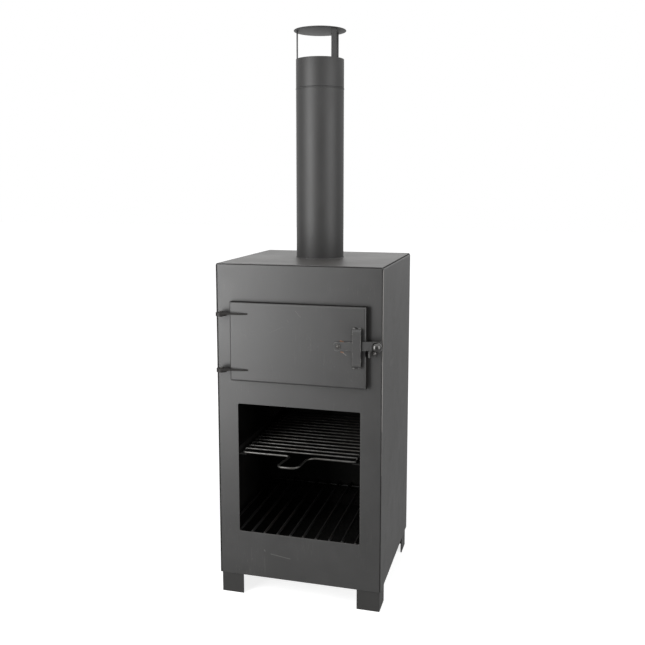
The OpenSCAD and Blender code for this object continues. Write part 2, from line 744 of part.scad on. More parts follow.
module catch_screw() place() color(steel_bright) facing_front(screw_x, 0, screw_z) {
    translate([0, 0, -sheet_t - screw_nut_t - sheet_t])
        cylinder(h = 2 * sheet_t + screw_nut_t + catch_t, r = screw_r);
    translate([0, 0, catch_t]) dome(screw_head_r, screw_head_h);
}

module catch_nut() place() color(steel_bright)
    facing_front(screw_x, -sheet_t, screw_z) mirror([0, 0, 1]) hex_nut(screw_head_r, screw_nut_t, screw_r);

body_wrap();
front_panel();
back_panel();
bottom_plate();
leg_front_left();
leg_front_right();
leg_rear_left();
leg_rear_right();
oven_floor();
oven_floor_ledge_left();
oven_floor_ledge_right();
pizza_stone();
grate_runner_left();
grate_runner_right();
cooking_grate_frame();
cooking_grate_wires();
fire_grate_bars();
fire_grate_cross_bars();
fire_grate_ledge_front();
fire_grate_ledge_rear();
flue_spigot();
chimney_pipe();
cowl_collar();
cowl_struts();
cowl_disc();
door_panel();
hinge_body_tab_upper();
hinge_body_tab_lower();
hinge_door_tab_upper();
hinge_door_tab_lower();
hinge_pins();
latch_bar();
latch_knob();
latch_pivot_bolt();
latch_pivot_washer();
latch_pivot_nut();
latch_guide();
latch_catch();
catch_screw();
catch_nut();
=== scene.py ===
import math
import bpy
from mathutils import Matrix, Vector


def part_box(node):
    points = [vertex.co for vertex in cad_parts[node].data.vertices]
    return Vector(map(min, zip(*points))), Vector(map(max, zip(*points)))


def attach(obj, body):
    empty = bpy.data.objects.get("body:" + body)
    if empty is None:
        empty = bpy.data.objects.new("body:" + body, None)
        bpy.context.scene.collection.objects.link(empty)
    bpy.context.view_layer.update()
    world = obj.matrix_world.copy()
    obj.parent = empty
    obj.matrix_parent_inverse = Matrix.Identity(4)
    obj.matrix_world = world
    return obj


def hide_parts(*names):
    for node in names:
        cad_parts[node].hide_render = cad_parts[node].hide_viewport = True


bl_info = {
    "name": "Chimenea with pizza oven",
    "version": (1, 0, 0),
    "blender": (4, 5, 0),
    "location": "3D View > Sidebar > Chimenea",
    "description": "Paint, rods, welds, fittings and stage for a steel chimenea with a pizza oven",
    "category": "Object",
}

import bmesh
import bpy
from mathutils import Matrix, Vector

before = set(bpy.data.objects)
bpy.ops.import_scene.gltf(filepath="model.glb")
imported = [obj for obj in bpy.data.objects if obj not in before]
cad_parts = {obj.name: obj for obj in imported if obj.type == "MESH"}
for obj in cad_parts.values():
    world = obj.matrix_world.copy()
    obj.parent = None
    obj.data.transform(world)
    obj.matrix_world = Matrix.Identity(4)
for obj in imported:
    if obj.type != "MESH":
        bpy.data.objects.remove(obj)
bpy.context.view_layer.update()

MM = 0.001
wrap_low, wrap_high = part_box("body_wrap")
MIDDLE_X = (wrap_low.x + wrap_high.x) / 2
FRONT_Y = wrap_low.y


def spot(x, y, z):
    """A place in metres, from millimetres counted from the body's middle, front face and ground."""
    return Vector((MIDDLE_X + x * MM, FRONT_Y + y * MM, z * MM))


# Sizes in millimetres that the pieces share
BODY_TOP = 815
PIPE_X, PIPE_Y = -3, 207.5
PIPE_R, PIPE_BORE, PIPE_TOP = 59, 57.5, 1230
COLLAR_LOW, COLLAR_TOP, REDUCED_R = 1230.3, 1299.3, 57.2
DISC_LOW, DISC_TOP, DISC_R = 1366.3, 1368.3, 64
DOOR_FACE = -16
PIVOT_X, PIVOT_Z, BAR_TILT = 101.5, 635.5, 3.5
HINGE_X, HINGE_Y, HINGE_ZS = -181.5, -18, (697, 564)


# Building node trees


class Graph:
    """Adds nodes to a tree. A value is a number, a tuple, a data block or another node's output."""

    def __init__(self, tree):
        self.tree = tree

    def node(self, kind, inputs=(), **settings):
        node = self.tree.nodes.new(kind)
        for name, value in settings.items():
            setattr(node, name, value)
        for key, value in dict(inputs).items():
            self.feed(next(s for s in node.inputs if s.enabled and s.name == key), value)
        return node

    def out(self, kind, inputs=(), **settings):
        return self.node(kind, inputs, **settings).outputs[0]

    def feed(self, socket, value):
        if isinstance(value, bpy.types.NodeSocket):
            self.tree.links.new(value, socket)
        else:
            socket.default_value = value

    def math(self, operation, *values, clamp=False):
        node = self.node("ShaderNodeMath", operation=operation, use_clamp=clamp)
        for socket, value in zip(node.inputs, values):
            self.feed(socket, value)
        return node.outputs[0]

    def plus(self, a, b):
        return self.math("ADD", a, b)

    def minus(self, a, b):
        return self.math("SUBTRACT", a, b)

    def times(self, a, b):
        return self.math("MULTIPLY", a, b)

    def over(self, a, b):
        return self.math("DIVIDE", a, b)

    def vector(self, operation, *values):
        node = self.node("ShaderNodeVectorMath", operation=operation)
        if operation == "SCALE":
            self.feed(node.inputs["Vector"], values[0])
            self.feed(node.inputs["Scale"], values[1])
        else:
            for socket, value in zip(node.inputs, values):
                self.feed(socket, value)
        return node.outputs["Value" if operation in {"LENGTH", "DISTANCE", "DOT_PRODUCT"} else "Vector"]

    def span(self, value, low, high, to_low=0.0, to_high=1.0, smooth=True):
        kind = "SMOOTHSTEP" if smooth else "LINEAR"
        node = self.node("ShaderNodeMapRange", interpolation_type=kind)
        for socket, number in zip(node.inputs, (value, low, high, to_low, to_high)):
            self.feed(socket, number)
        return node.outputs[0]

    def blend(self, factor, a, b, kind="MIX"):
        node = self.node("ShaderNodeMix", data_type="RGBA", blend_type=kind)
        for index, value in ((0, factor), (6, a), (7, b)):
            self.feed(node.inputs[index], value)
        return node.outputs[2]

    def noise(self, place, scale, detail=2.0, roughness=0.5):
        inputs = {"Vector": place, "Scale": scale, "Detail": detail, "Roughness": roughness}
        return self.node("ShaderNodeTexNoise", inputs).outputs["Fac"]

    def axes(self, vector):
        return self.node("ShaderNodeSeparateXYZ", {"Vector": vector}).outputs

    def mirrored(self, path):
        return self.math("MAXIMUM", path["Is Glossy Ray"], path["Is Transmission Ray"])

    def group(self, name, place, **inputs):
        """Places one of the shared shader groups, and gives its outputs by name."""
        node = self.tree.nodes.new("ShaderNodeGroup")
        node.node_tree = bpy.data.node_groups[name]
        for key, value in {"Vector": place, **inputs}.items():
            self.feed(node.inputs[key], value)
        return node.outputs

    def tube(self, curve, sides, radius, scale=1.0):
        """A round tube along a curve, with closed ends."""
        ring = self.out("GeometryNodeCurvePrimitiveCircle", {"Resolution": sides, "Radius": radius})
        inputs = {"Curve": curve, "Profile Curve": ring, "Scale": scale, "Fill Caps": True}
        return self.out("GeometryNodeCurveToMesh", inputs)


def emptied(block):
    """Clears the node tree of a material or world, and gives its graph."""
    block.use_nodes = True
    block.node_tree.nodes.clear()
    return Graph(block.node_tree)


SOCKETS = {float: "Float", int: "Int", tuple: "Vector"}


def start_group(name, kind, inputs, outputs):
    """A node group with named sockets; gives its graph, its inputs by name and its output node.
    An input comes with its default or, where it has none, with its kind."""
    tree = bpy.data.node_groups.new(name, kind)
    for label, default in inputs.items():
        what = default if isinstance(default, str) else SOCKETS[type(default)]
        socket = tree.interface.new_socket(name=label, in_out="INPUT", socket_type="NodeSocket" + what)
        if what != default:
            socket.default_value = default
    for label, what in outputs.items():
        tree.interface.new_socket(name=label, in_out="OUTPUT", socket_type="NodeSocket" + what)
    graph = Graph(tree)
    return graph, graph.node("NodeGroupInput").outputs, graph.node("NodeGroupOutput").inputs


def start_shading(name, outputs, **inputs):
    """A shader group that looks at a place and puts out plain numbers; gives the place too."""
    outputs = dict.fromkeys(outputs, "Float")
    graph, given, made = start_group(name, "ShaderNodeTree", {"Vector": "Vector", **inputs}, outputs)
    return graph, given["Vector"], given, made


def start_growth(name, **inputs):
    """A Geometry Nodes group that puts out a geometry in one material."""
    inputs = {"Geometry": "Geometry", **inputs, "Material": "Material"}
    return start_group(name, "GeometryNodeTree", inputs, {"Geometry": "Geometry"})


# Shader groups that several finishes share


def coat_group():
    """Grain and orange peel of a sprayed coat, with the slow changes in its tone."""
    graph, place, given, made = start_shading("Sprayed coat", ("Height", "Tone", "Grain"), Grain=0.0007, Peel=0.004)
    grain = graph.noise(place, graph.over(1.0, given["Grain"]), 1.0)
    peel = graph.noise(place, graph.over(1.0, given["Peel"]), 2.0)
    height = graph.plus(graph.times(grain, 0.4), graph.times(peel, 0.6))
    tone = graph.noise(place, 7.0, 3.0, 0.6)
    graph.feed(made["Height"], height)
    graph.feed(made["Tone"], graph.span(tone, 0.3, 0.7, smooth=False))
    graph.feed(made["Grain"], grain)


def marks_group():
    """Fine scratches and dull smudges from handling, in patches."""
    graph, place, given, made = start_shading("Handling marks", ("Scratches", "Smudges"), Amount=0.5)
    lines = None
    for turn, scale in (((0.0, 0.6, 0.3), (160.0, 160.0, 9.0)), ((0.0, -0.9, 1.1), (210.0, 210.0, 13.0))):
        turned_place = graph.out("ShaderNodeMapping", {"Vector": place, "Rotation": turn, "Scale": scale})
        wave = graph.noise(turned_place, 1.0, 1.0)
        line = graph.span(graph.math("ABSOLUTE", graph.minus(wave, 0.5)), 0.0, 0.008, 1.0, 0.0)
        lines = line if lines is None else graph.math("MAXIMUM", lines, line)
    patch = graph.span(graph.noise(place, 11.0, 3.0, 0.6), 0.52, 0.68)
    graph.feed(made["Scratches"], graph.times(graph.times(lines, patch), given["Amount"]))
    smudge = graph.span(graph.noise(place, 26.0, 4.0, 0.65), 0.5, 0.72)
    graph.feed(made["Smudges"], graph.times(smudge, given["Amount"]))


def edge_group():
    """A mask along the corners of the sheet, with gaps in it. Finishes paint rubbed edges with it, and on the latch
    and the guide's welds a painted highlight.
    """
    graph, place, given, made = start_shading("Edge wear and highlight", ("Mask",), Radius=0.0008, Amount=0.5)
    rounded = graph.out("ShaderNodeBevel", {"Radius": given["Radius"]}, samples=4)
    plain = graph.node("ShaderNodeNewGeometry").outputs["Normal"]
    bend = graph.minus(1.0, graph.vector("DOT_PRODUCT", rounded, plain))
    edge = graph.span(bend, 0.04, 0.3)
    gaps = graph.span(graph.noise(place, 90.0, 4.0, 0.7), 0.42, 0.6)
    graph.feed(made["Mask"], graph.times(graph.times(edge, gaps), given["Amount"]))


def streak_group():
    """A streak between two places, ragged along its sides. The finishes use it for wear, rust and scratches, and for
    painted shade and painted highlights.
    """
    graph, place, given, made = start_shading(
        "Ragged streak", ("Mask",), From=(0.0, 0.0, 0.0), To=(0.0, 0.0, 0.01), Width=0.002, Raggedness=0.5
    )
    away = graph.vector("SUBTRACT", place, given["From"])
    along = graph.vector("SUBTRACT", given["To"], given["From"])
    reached, whole = graph.vector("DOT_PRODUCT", away, along), graph.vector("DOT_PRODUCT", along, along)
    share = graph.math("DIVIDE", reached, whole, clamp=True)
    far = graph.vector("LENGTH", graph.vector("SUBTRACT", away, graph.vector("SCALE", along, share)))
    ragged = graph.minus(graph.noise(place, 700.0, 3.0, 0.7), 0.5)
    wide = graph.times(given["Width"], 0.5)
    far = graph.plus(far, graph.times(graph.times(ragged, given["Raggedness"]), given["Width"]))
    graph.feed(made["Mask"], graph.span(far, graph.times(wide, 0.5), wide, 1.0, 0.0))


def speck_group():
    """Small pale specks of ash and dust, thinly spread."""
    graph, place, given, made = start_shading("Ash specks", ("Mask",), Spacing=0.012, Size=0.08, Share=0.2)
    scale = graph.over(1.0, given["Spacing"])
    cells = graph.node("ShaderNodeTexVoronoi", {"Vector": place, "Scale": scale})
    pick = graph.out("ShaderNodeSeparateColor", {"Color": cells.outputs["Color"]})
    chosen = graph.math("LESS_THAN", pick, given["Share"])
    dot = graph.span(cells.outputs["Distance"], graph.times(given["Size"], 0.5), given["Size"], 1.0, 0.0)
    graph.feed(made["Mask"], graph.times(dot, chosen))


# Finishes


def toned(colour, by=1.0):
    """A colour made darker or lighter, with its alpha."""
    return tuple(min(1, c * by) for c in colour[:3]) + (1,)


def start_finish(name, **shader_values):
    """A material's graph, its Principled shader's inputs with their plain numbers set, and the place shaded."""
    graph = emptied(bpy.data.materials.new(name))
    shader = graph.node("ShaderNodeBsdfPrincipled", {k.replace("_", " "): v for k, v in shader_values.items()})
    graph.node("ShaderNodeOutputMaterial", {"Surface": shader.outputs[0]})
    return graph, shader.inputs, graph.node("ShaderNodeTexCoord").outputs["Object"]


def end_finish(graph, shader, colour, roughness, height, strength, distance, **normal):
    """Gives the shader its colour, its roughness and the relief of its surface."""
    relief = graph.out("ShaderNodeBump", {"Height": height, "Strength": strength, "Distance": distance, **normal})
    for name, value in {"Base Color": colour, "Roughness": roughness, "Normal": relief}.items():
        graph.feed(shader[name], value)


def paint_finish(name, colour, roughness, marks=0.3, edges=0.35, rim=0.0008, edge_colour=(0.16, 0.155, 0.145, 1),
                 streaks=(), specular=0.7, low_dust=0.0, top_dust_and_sheen=0.0, inside=None):
    """Sprayed high-heat paint on sheet steel, with its grain, smudges, rubbed edges and streaks; a light edge colour
    makes the edges a painted highlight, and some streaks are painted shade and some painted highlights.
    Between the two places of inside, the sheet's inner faces and the door's flanges are painted near black and dull,
    as painted shade."""
    graph, shader, place = start_finish(name, Specular_IOR_Level=specular)
    coat = graph.group("Sprayed coat", place)
    handled = graph.group("Handling marks", place, Amount=marks)
    edge_mask = graph.group("Edge wear and highlight", place, Radius=rim, Amount=edges)["Mask"]
    light = toned(colour, 1.12)
    shade = graph.blend(coat["Tone"], toned(colour, 0.88), light)
    shade = graph.blend(graph.times(coat["Grain"], 0.25), shade, light)
    shade = graph.blend(graph.times(handled["Smudges"], 0.35), shade, toned(colour, 1.9))
    shade = graph.blend(graph.times(handled["Scratches"], 0.6), shade, edge_colour)
    shade = graph.blend(edge_mask, shade, edge_colour)
    if low_dust:
        low = graph.span(graph.axes(place)[2], 0.0, 0.1, 1.0, 0.0)
        dusty = graph.times(low, graph.noise(place, 60.0, 4.0, 0.7))
        shade = graph.blend(graph.times(dusty, low_dust), shade, (0.35, 0.31, 0.26, 1))
    # Up-facing faces get a pale film: settled dust, and a painted sheen that lifts the top's tone.
    if top_dust_and_sheen:
        up = graph.axes(graph.node("ShaderNodeNewGeometry").outputs["Normal"])[2]
        cloud = graph.span(graph.noise(place, 9.0, 4.0, 0.6), 0.25, 0.75, 0.6, 1.0)
        dust_and_sheen = graph.times(graph.span(up, 0.75, 1.0), cloud)
        shade = graph.blend(graph.times(dust_and_sheen, top_dust_and_sheen), shade, (0.34, 0.32, 0.3, 1))
    # Every marked place, wear and painted light alike, is made a little glossier.
    marked_area = edge_mask
    for start, end, width, streak_colour, strength in streaks:
        streak = graph.group("Ragged streak", place, From=spot(*start), To=spot(*end), Width=width * MM, Raggedness=0.7)
        mask = graph.times(streak["Mask"], strength)
        shade = graph.blend(mask, shade, streak_colour)
        marked_area = graph.math("MAXIMUM", marked_area, mask)
    rough = graph.span(coat["Tone"], 0.0, 1.0, roughness - 0.04, roughness + 0.04, smooth=False)
    rough = graph.plus(rough, graph.times(handled["Smudges"], 0.12))
    rough = graph.minus(rough, graph.times(marked_area, 0.08))
    # Painted shade: faces inside the chamber, and the door's flanges and inner face, get a near-black, duller colour
    # for the shade they stand in.
    if inside:
        low, high = inside
        nearest = graph.axes(
            graph.vector("MINIMUM", graph.vector("SUBTRACT", place, low), graph.vector("SUBTRACT", high, place))
        )
        least = graph.math("MINIMUM", graph.math("MINIMUM", nearest[0], nearest[1]), nearest[2])
        inner = graph.math("GREATER_THAN", least, 0.0)
        cloud = graph.span(graph.noise(place, 14.0, 5.0, 0.65), 0.35, 0.7)
        inner_shade = graph.blend(cloud, (0.005, 0.0047, 0.0043, 1), (0.013, 0.012, 0.011, 1))
        shade = graph.blend(inner, shade, inner_shade)
        rough = graph.plus(rough, graph.times(inner, 0.3))
        graph.feed(shader["Specular IOR Level"], graph.span(inner, 0.0, 1.0, specular, specular * 0.2, smooth=False))
    rounded = graph.out("ShaderNodeBevel", {"Radius": 0.0006}, samples=4)
    end_finish(graph, shader, shade, rough, coat["Height"], 0.5, 0.00012, Normal=rounded)


def steel_finish(name, colour, roughness, metallic=1.0, heat=None, specks=0.0, shaded_depths=None):
    """Bare or scaled steel, with scale and ash. Between two given depths the colour darkens towards the back, as
    painted shade.
    """
    graph, shader, place = start_finish(name, Metallic=metallic)
    fine = graph.noise(place, 900.0, 3.0, 0.6)
    scale = graph.noise(place, 55.0, 4.0, 0.6)
    shade = graph.blend(graph.span(scale, 0.35, 0.68), toned(colour, 0.55), toned(colour))
    shade = graph.blend(graph.span(fine, 0.35, 0.75, 0.0, 0.35), shade, toned(colour, 1.5))
    if heat:
        shade = graph.blend(graph.span(graph.noise(place, 17.0, 3.0, 0.6), 0.46, 0.66, 0.0, 0.7), shade, heat)
    edge_mask = graph.group("Edge wear and highlight", place, Radius=0.0004, Amount=0.5)["Mask"]
    shade = graph.blend(edge_mask, shade, toned(colour, 1.8))
    if specks:
        ash = graph.group("Ash specks", place, Share=specks)["Mask"]
        shade = graph.blend(graph.times(ash, 0.5), shade, (0.32, 0.3, 0.28, 1))
    # Painted shade: the colour darkens towards the back of the chamber, where little light reaches.
    if shaded_depths:
        soot_and_shade = graph.span(graph.axes(place)[1], *shaded_depths, 0.0, 0.93, smooth=False)
        shade = graph.blend(soot_and_shade, shade, (0.006, 0.0055, 0.005, 1))
    rough = graph.span(scale, 0.3, 0.7, roughness + 0.1, roughness - 0.06)
    end_finish(graph, shader, shade, rough, fine, 0.5, 0.00008)


def soot_and_shade_finish(name, colour, roughness):
    """Inside of the chamber: dull dark steel under soot, with a little ash, kept near black as painted shade of the
    closed chamber.
    """
    graph, shader, place = start_finish(name, Specular_IOR_Level=0.15)
    coat = graph.group("Sprayed coat", place, Grain=0.0012, Peel=0.009)
    cloud = graph.noise(place, 14.0, 5.0, 0.65)
    shade = graph.blend(graph.span(cloud, 0.35, 0.7), toned(colour, 0.55), toned(colour))
    ash = graph.group("Ash specks", place, Spacing=0.009, Share=0.12)["Mask"]
    shade = graph.blend(graph.times(ash, 0.3), shade, (0.08, 0.076, 0.07, 1))
    rough = graph.span(cloud, 0.3, 0.7, roughness, roughness - 0.2)
    end_finish(graph, shader, shade, rough, coat["Height"], 0.6, 0.0003)


def knob_finish(name, colour):
    """Dark polished ball knob, with faint turning marks and hairline scratches."""
    graph, shader, place = start_finish(name, Metallic=1.0)
    handled = graph.group("Handling marks", place, Amount=0.5)
    flow = graph.noise(place, 160.0, 3.0, 0.6)
    shade = graph.blend(flow, toned(colour, 0.7), toned(colour, 1.25))
    shade = graph.blend(graph.times(handled["Scratches"], 0.4), shade, (0.2, 0.2, 0.2, 1))
    rough = graph.plus(0.24, graph.times(handled["Smudges"], 0.12))
    end_finish(graph, shader, shade, rough, flow, 0.3, 0.00006)


def stone_finish(name, colour):
    """Pressed baking stone: pale grog, pores, and toasted patches from baking."""
    graph, shader, place = start_finish(name, Specular_IOR_Level=0.3)
    grog = graph.node("ShaderNodeTexVoronoi", {"Vector": place, "Scale": 420.0})
    grit = graph.out("ShaderNodeSeparateColor", {"Color": grog.outputs["Color"]})
    shade = graph.blend(graph.span(grit, 0.0, 1.0, smooth=False), toned(colour, 0.86), toned(colour, 1.12))
    toast = graph.span(graph.noise(place, 13.0, 4.0, 0.6), 0.5, 0.74, 0.0, 0.75)
    shade = graph.blend(toast, shade, (0.2, 0.13, 0.075, 1))
    pores = graph.group("Ash specks", place, Spacing=0.003, Size=0.3, Share=0.4)["Mask"]
    shade = graph.blend(graph.times(pores, 0.6), shade, toned(colour, 0.45))
    rough = graph.span(toast, 0.0, 0.75, 0.92, 0.78)
    end_finish(graph, shader, shade, rough, graph.minus(grit, graph.times(pores, 2.0)), 0.6, 0.0003)


RUST = (0.2, 0.085, 0.035, 1)
# Light colour for a painted highlight where a bent edge catches the light.
EDGE_HIGHLIGHT = (0.26, 0.25, 0.24, 1)
BARE = (0.3, 0.28, 0.26, 1)
PALE = (0.2, 0.195, 0.185, 1)
# Lighter colour for a painted highlight along the fire opening's rims.
RIM_HIGHLIGHT = (0.05, 0.049, 0.047, 1)
# Near black: painted shadow beside the door, a darker band beside the latch guide, and a dirty smudge on the side.
GRIME_AND_SHADE = (0.012, 0.011, 0.0105, 1)
DOOR_STREAKS = (
    ((106, -16, 647.5), (112, -16, 646), 4.5, RUST, 0.75),
    ((107, -16, 622.5), (112, -16, 621.5), 4.0, RUST, 0.65),
    ((111, -16, 621), (119, -16, 615), 1.2, BARE, 0.6),
    ((154.6, -16, 646), (154.6, -16, 629), 1.8, PALE, 0.5),
    ((-1, -16, 711.5), (12.5, -16, 697), 0.8, PALE, 0.35),
    ((-62, -16, 658.7), (-28.7, -16, 673.9), 0.6, PALE, 0.2),
    ((-20, -16, 690), (-17, -16, 684), 0.8, PALE, 0.2),
    # A darker band down the door just left of the latch guide.
    ((132.5, -16, 594), (132.5, -16, 674), 8.0, GRIME_AND_SHADE, 0.55),
)
FRONT_STREAKS = (
    ((-86.4, 0, 120), (-84, 0, 117), 2.5, PALE, 0.4),
    ((-69.4, 0, 111.6), (-21.3, 0, 105.1), 3.0, PALE, 0.25),
    ((-66.6, 0, 161.4), (-66.2, 0, 161.1), 2.0, BARE, 0.5),
    # Painted highlight: lighter bands along the fire opening's bottom and right edges, where the sheet's edge catches
    # the light.
    ((-146, 0, 162), (146, 0, 162), 6.0, RIM_HIGHLIGHT, 0.6),
    ((149, 0, 166), (149, 0, 476), 6.0, RIM_HIGHLIGHT, 0.6),
    # Painted shadow: a dark band down the front just right of the door, where the door stands out and keeps the left
    # light off.
    ((169, 0, 542), (169, 0, 722), 12.0, GRIME_AND_SHADE, 0.9),
)
SIDE_STREAKS = (
    # Painted highlight: a light streak down the wrap's front-right edge, strongest on its upper part.
    ((200, 0, 440), (200, 0, 808), 3.4, EDGE_HIGHLIGHT, 0.85),
    ((200, 0, 335), (200, 0, 440), 2.6, EDGE_HIGHLIGHT, 0.35),
    ((200, 110, 389.7), (200, 110.6, 389.2), 2.5, PALE, 0.5),
    ((200, 96, 576.5), (200, 136, 576.5), 20.0, GRIME_AND_SHADE, 0.9),
)


# Building meshes


def eased(points, radius, steps=4, closed=True):
    """Rounds the corners of an outline; radius is one number or one for each corner."""
    out = []
    count = len(points)
    radii = radius if hasattr(radius, "__len__") else [radius] * count
    for i, corner in enumerate(points):
        here = Vector(corner)
        if radii[i] <= 0 or (not closed and i in (0, count - 1)):
            out.append(tuple(here))
            continue
        back = (Vector(points[i - 1]) - here).normalized()
        on = (Vector(points[(i + 1) % count]) - here).normalized()
        angle = back.angle(on)
        reach = radii[i] / math.tan(angle / 2)
        middle = here + (back + on).normalized() * (radii[i] / math.sin(angle / 2))
        first = here + back * reach - middle
        last = here + on * reach - middle
        turn = first.angle_signed(last)
        for k in range(steps + 1):
            out.append(tuple(middle + Matrix.Rotation(-turn * k / steps, 2) @ first))
    return out


def mesh_from(bm, name, sharp=35):
    """Finishes a bmesh: welds doubles, turns faces outward, smooths it up to the sharp angle."""
    bmesh.ops.remove_doubles(bm, verts=bm.verts, dist=1e-6)
    bmesh.ops.recalc_face_normals(bm, faces=bm.faces)
    mesh = bpy.data.meshes.new(name)
    bm.to_mesh(mesh)
    bm.free()
    mesh.shade_smooth()
    mesh.set_sharp_from_angle(angle=math.radians(sharp))
    return mesh


def turn_profile(bm, profile, steps, matrix, closed=True, shape=None):
    """Adds a body of revolution about z. The profile is in millimetres, as radius and height."""
    rings = []
    for r, z in profile:
        if r < 1e-6:
            rings.append([bm.verts.new(matrix @ Vector((0, 0, z * MM)))])
            continue
        ring = []
        for k in range(steps):
            angle = 2 * math.pi * k / steps
            out = shape(r, z, angle) if shape else r
            place = Vector((out * MM * math.cos(angle), out * MM * math.sin(angle), z * MM))
            ring.append(bm.verts.new(matrix @ place))
        rings.append(ring)
    pairs = list(zip(rings, rings[1:])) + ([(rings[-1], rings[0])] if closed else [])
    for low, high in pairs:
        for k in range(steps):
            n = (k + 1) % steps
            corners = [low[k % len(low)], low[n % len(low)], high[n % len(high)], high[k % len(high)]]
            corners = list(dict.fromkeys(corners))
            if len(corners) > 2:
                bm.faces.new(corners)


def turned(name, profile, steps, matrix, sharp=35, **how):
    """A finished mesh of one body of revolution."""
    bm = bmesh.new()
    turn_profile(bm, profile, steps, matrix, **how)
    return mesh_from(bm, name, sharp)


def dome(radius, low, height, steps, first=0):
    """The profile of a domed head, from its rim to its top."""
    angles = [math.pi / 2 * k / steps for k in range(first, steps + 1)]
    return [(radius * math.cos(a), low + height * math.sin(a)) for a in angles]


def standing(x, y):
    return Matrix.Translation(spot(x, y, 0))


def facing(place, turn=90):
    """Turns what is built along z to face the front, or with -90 the back, at a place in metres."""
    return Matrix.Translation(place) @ Matrix.Rotation(math.radians(turn), 4, "X")


def latched(along, y):
    """A place on the resting latch bar, counted from its pivot, facing the front."""
    tilt = math.radians(BAR_TILT)
    return facing(spot(PIVOT_X + along * math.cos(tilt), y, PIVOT_Z + along * math.sin(tilt)))


def placed(name, data):
    """A new object in the scene."""
    item = bpy.data.objects.new(name, data)
    bpy.context.scene.collection.objects.link(item)
    return item


def add_piece(name, mesh, finish, body, slot, *nodes):
    """Puts a finished mesh in the scene, on its CAD body."""
    if not mesh.materials:
        mesh.materials.append(bpy.data.materials[finish])
    piece = placed(name, mesh)
    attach(piece, body)
    if nodes:
        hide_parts(*nodes)
    return piece


def path_mesh(paths, bends=None):
    """A mesh of edges only, one chain for each path of places; a path is closed where its ends meet."""
    verts, edges, radii = [], [], []
    for n, path in enumerate(paths):
        closed = len(path) > 2 and (path[0] - path[-1]).length < 1e-7
        places = path[:-1] if closed else path
        first = len(verts)
        verts += places
        radii += list(bends[n][: len(places)]) if bends else [0.0] * len(places)
        edges += [(first + i, first + i + 1) for i in range(len(places) - 1)]
        if closed:
            edges.append((len(verts) - 1, first))
    mesh = bpy.data.meshes.new("guide")
    mesh.from_pydata(verts, edges, [])
    layer = mesh.attributes.new("bend", "FLOAT", "POINT")
    layer.data.foreach_set("value", radii)
    return mesh


# Geometry Nodes trees for what repeats or follows a path


def tree_end(graph, geometry, given, made):
    """Ends a tree: smooth shading, real instances, material."""
    shaded = graph.out("GeometryNodeSetShadeSmooth", {"Geometry": geometry, "Shade Smooth": True})
    real = graph.out("GeometryNodeRealizeInstances", {"Geometry": shaded})
    painted = graph.out("GeometryNodeSetMaterial", {"Geometry": real, "Material": given["Material"]})
    graph.feed(made["Geometry"], painted)


def bar_row_tree():
    """A row of equal round bars with eased ends, each a hair out of place."""
    graph, given, made = start_growth(
        "Row of bars", Count=1, Start=(0.0, 0.0, 0.0), Step=(0.0, 0.0, 0.0), Run=(0.0, 0.0, 0.0),
        Radius=0.002, Chamfer=0.0004, Unevenness=0.0, Seed=1,
    )
    index = graph.out("GeometryNodeInputIndex")
    at = [graph.math("COMPARE", index, float(i), 0.5) for i in range(4)]
    inset = graph.over(given["Chamfer"], graph.vector("LENGTH", given["Run"]))
    third = graph.over(index, 3.0)
    inner = graph.times(graph.minus(inset, 1 / 3), graph.minus(at[1], at[2]))
    place = graph.vector("SCALE", given["Run"], graph.plus(third, inner))
    line = graph.out("GeometryNodeMeshLine", {"Count": 4})
    line = graph.out("GeometryNodeSetPosition", {"Geometry": line, "Position": place})
    bar = graph.out("GeometryNodeMeshToCurve", {"Mesh": line})
    drop = graph.times(graph.plus(at[0], at[3]), graph.over(given["Chamfer"], given["Radius"]))
    bar = graph.tube(bar, 20, given["Radius"], graph.minus(1.0, drop))
    ends = {"Count": given["Count"], "Start Location": given["Start"], "Offset": given["Step"]}
    row = graph.out("GeometryNodeMeshLine", ends)
    most = given["Unevenness"]
    limits = {"Min": graph.times(most, -1.0), "Max": most, "Seed": given["Seed"]}
    off = graph.node("FunctionNodeRandomValue", limits).outputs[1]
    shift = graph.vector("SCALE", graph.vector("NORMALIZE", given["Step"]), off)
    row = graph.out("GeometryNodeSetPosition", {"Geometry": row, "Offset": shift})
    bars = graph.out("GeometryNodeInstanceOnPoints", {"Points": row, "Instance": bar})
    tree_end(graph, bars, given, made)


def bent_rod_tree():
    """A round rod along a path, bent at each corner to the radius that the path carries."""
    graph, given, made = start_growth("Bent rod", Radius=0.0025, Sides=24)
    path = graph.out("GeometryNodeMeshToCurve", {"Mesh": given["Geometry"]})
    bend = graph.out("GeometryNodeInputNamedAttribute", {"Name": "bend"}, data_type="FLOAT")
    fillet = graph.node("GeometryNodeFilletCurve", mode="POLY")
    for name, value in {"Curve": path, "Count": 10, "Radius": bend, "Limit Radius": True}.items():
        graph.feed(fillet.inputs[name], value)
    tree_end(graph, graph.tube(fillet.outputs[0], given["Sides"], given["Radius"]), given, made)


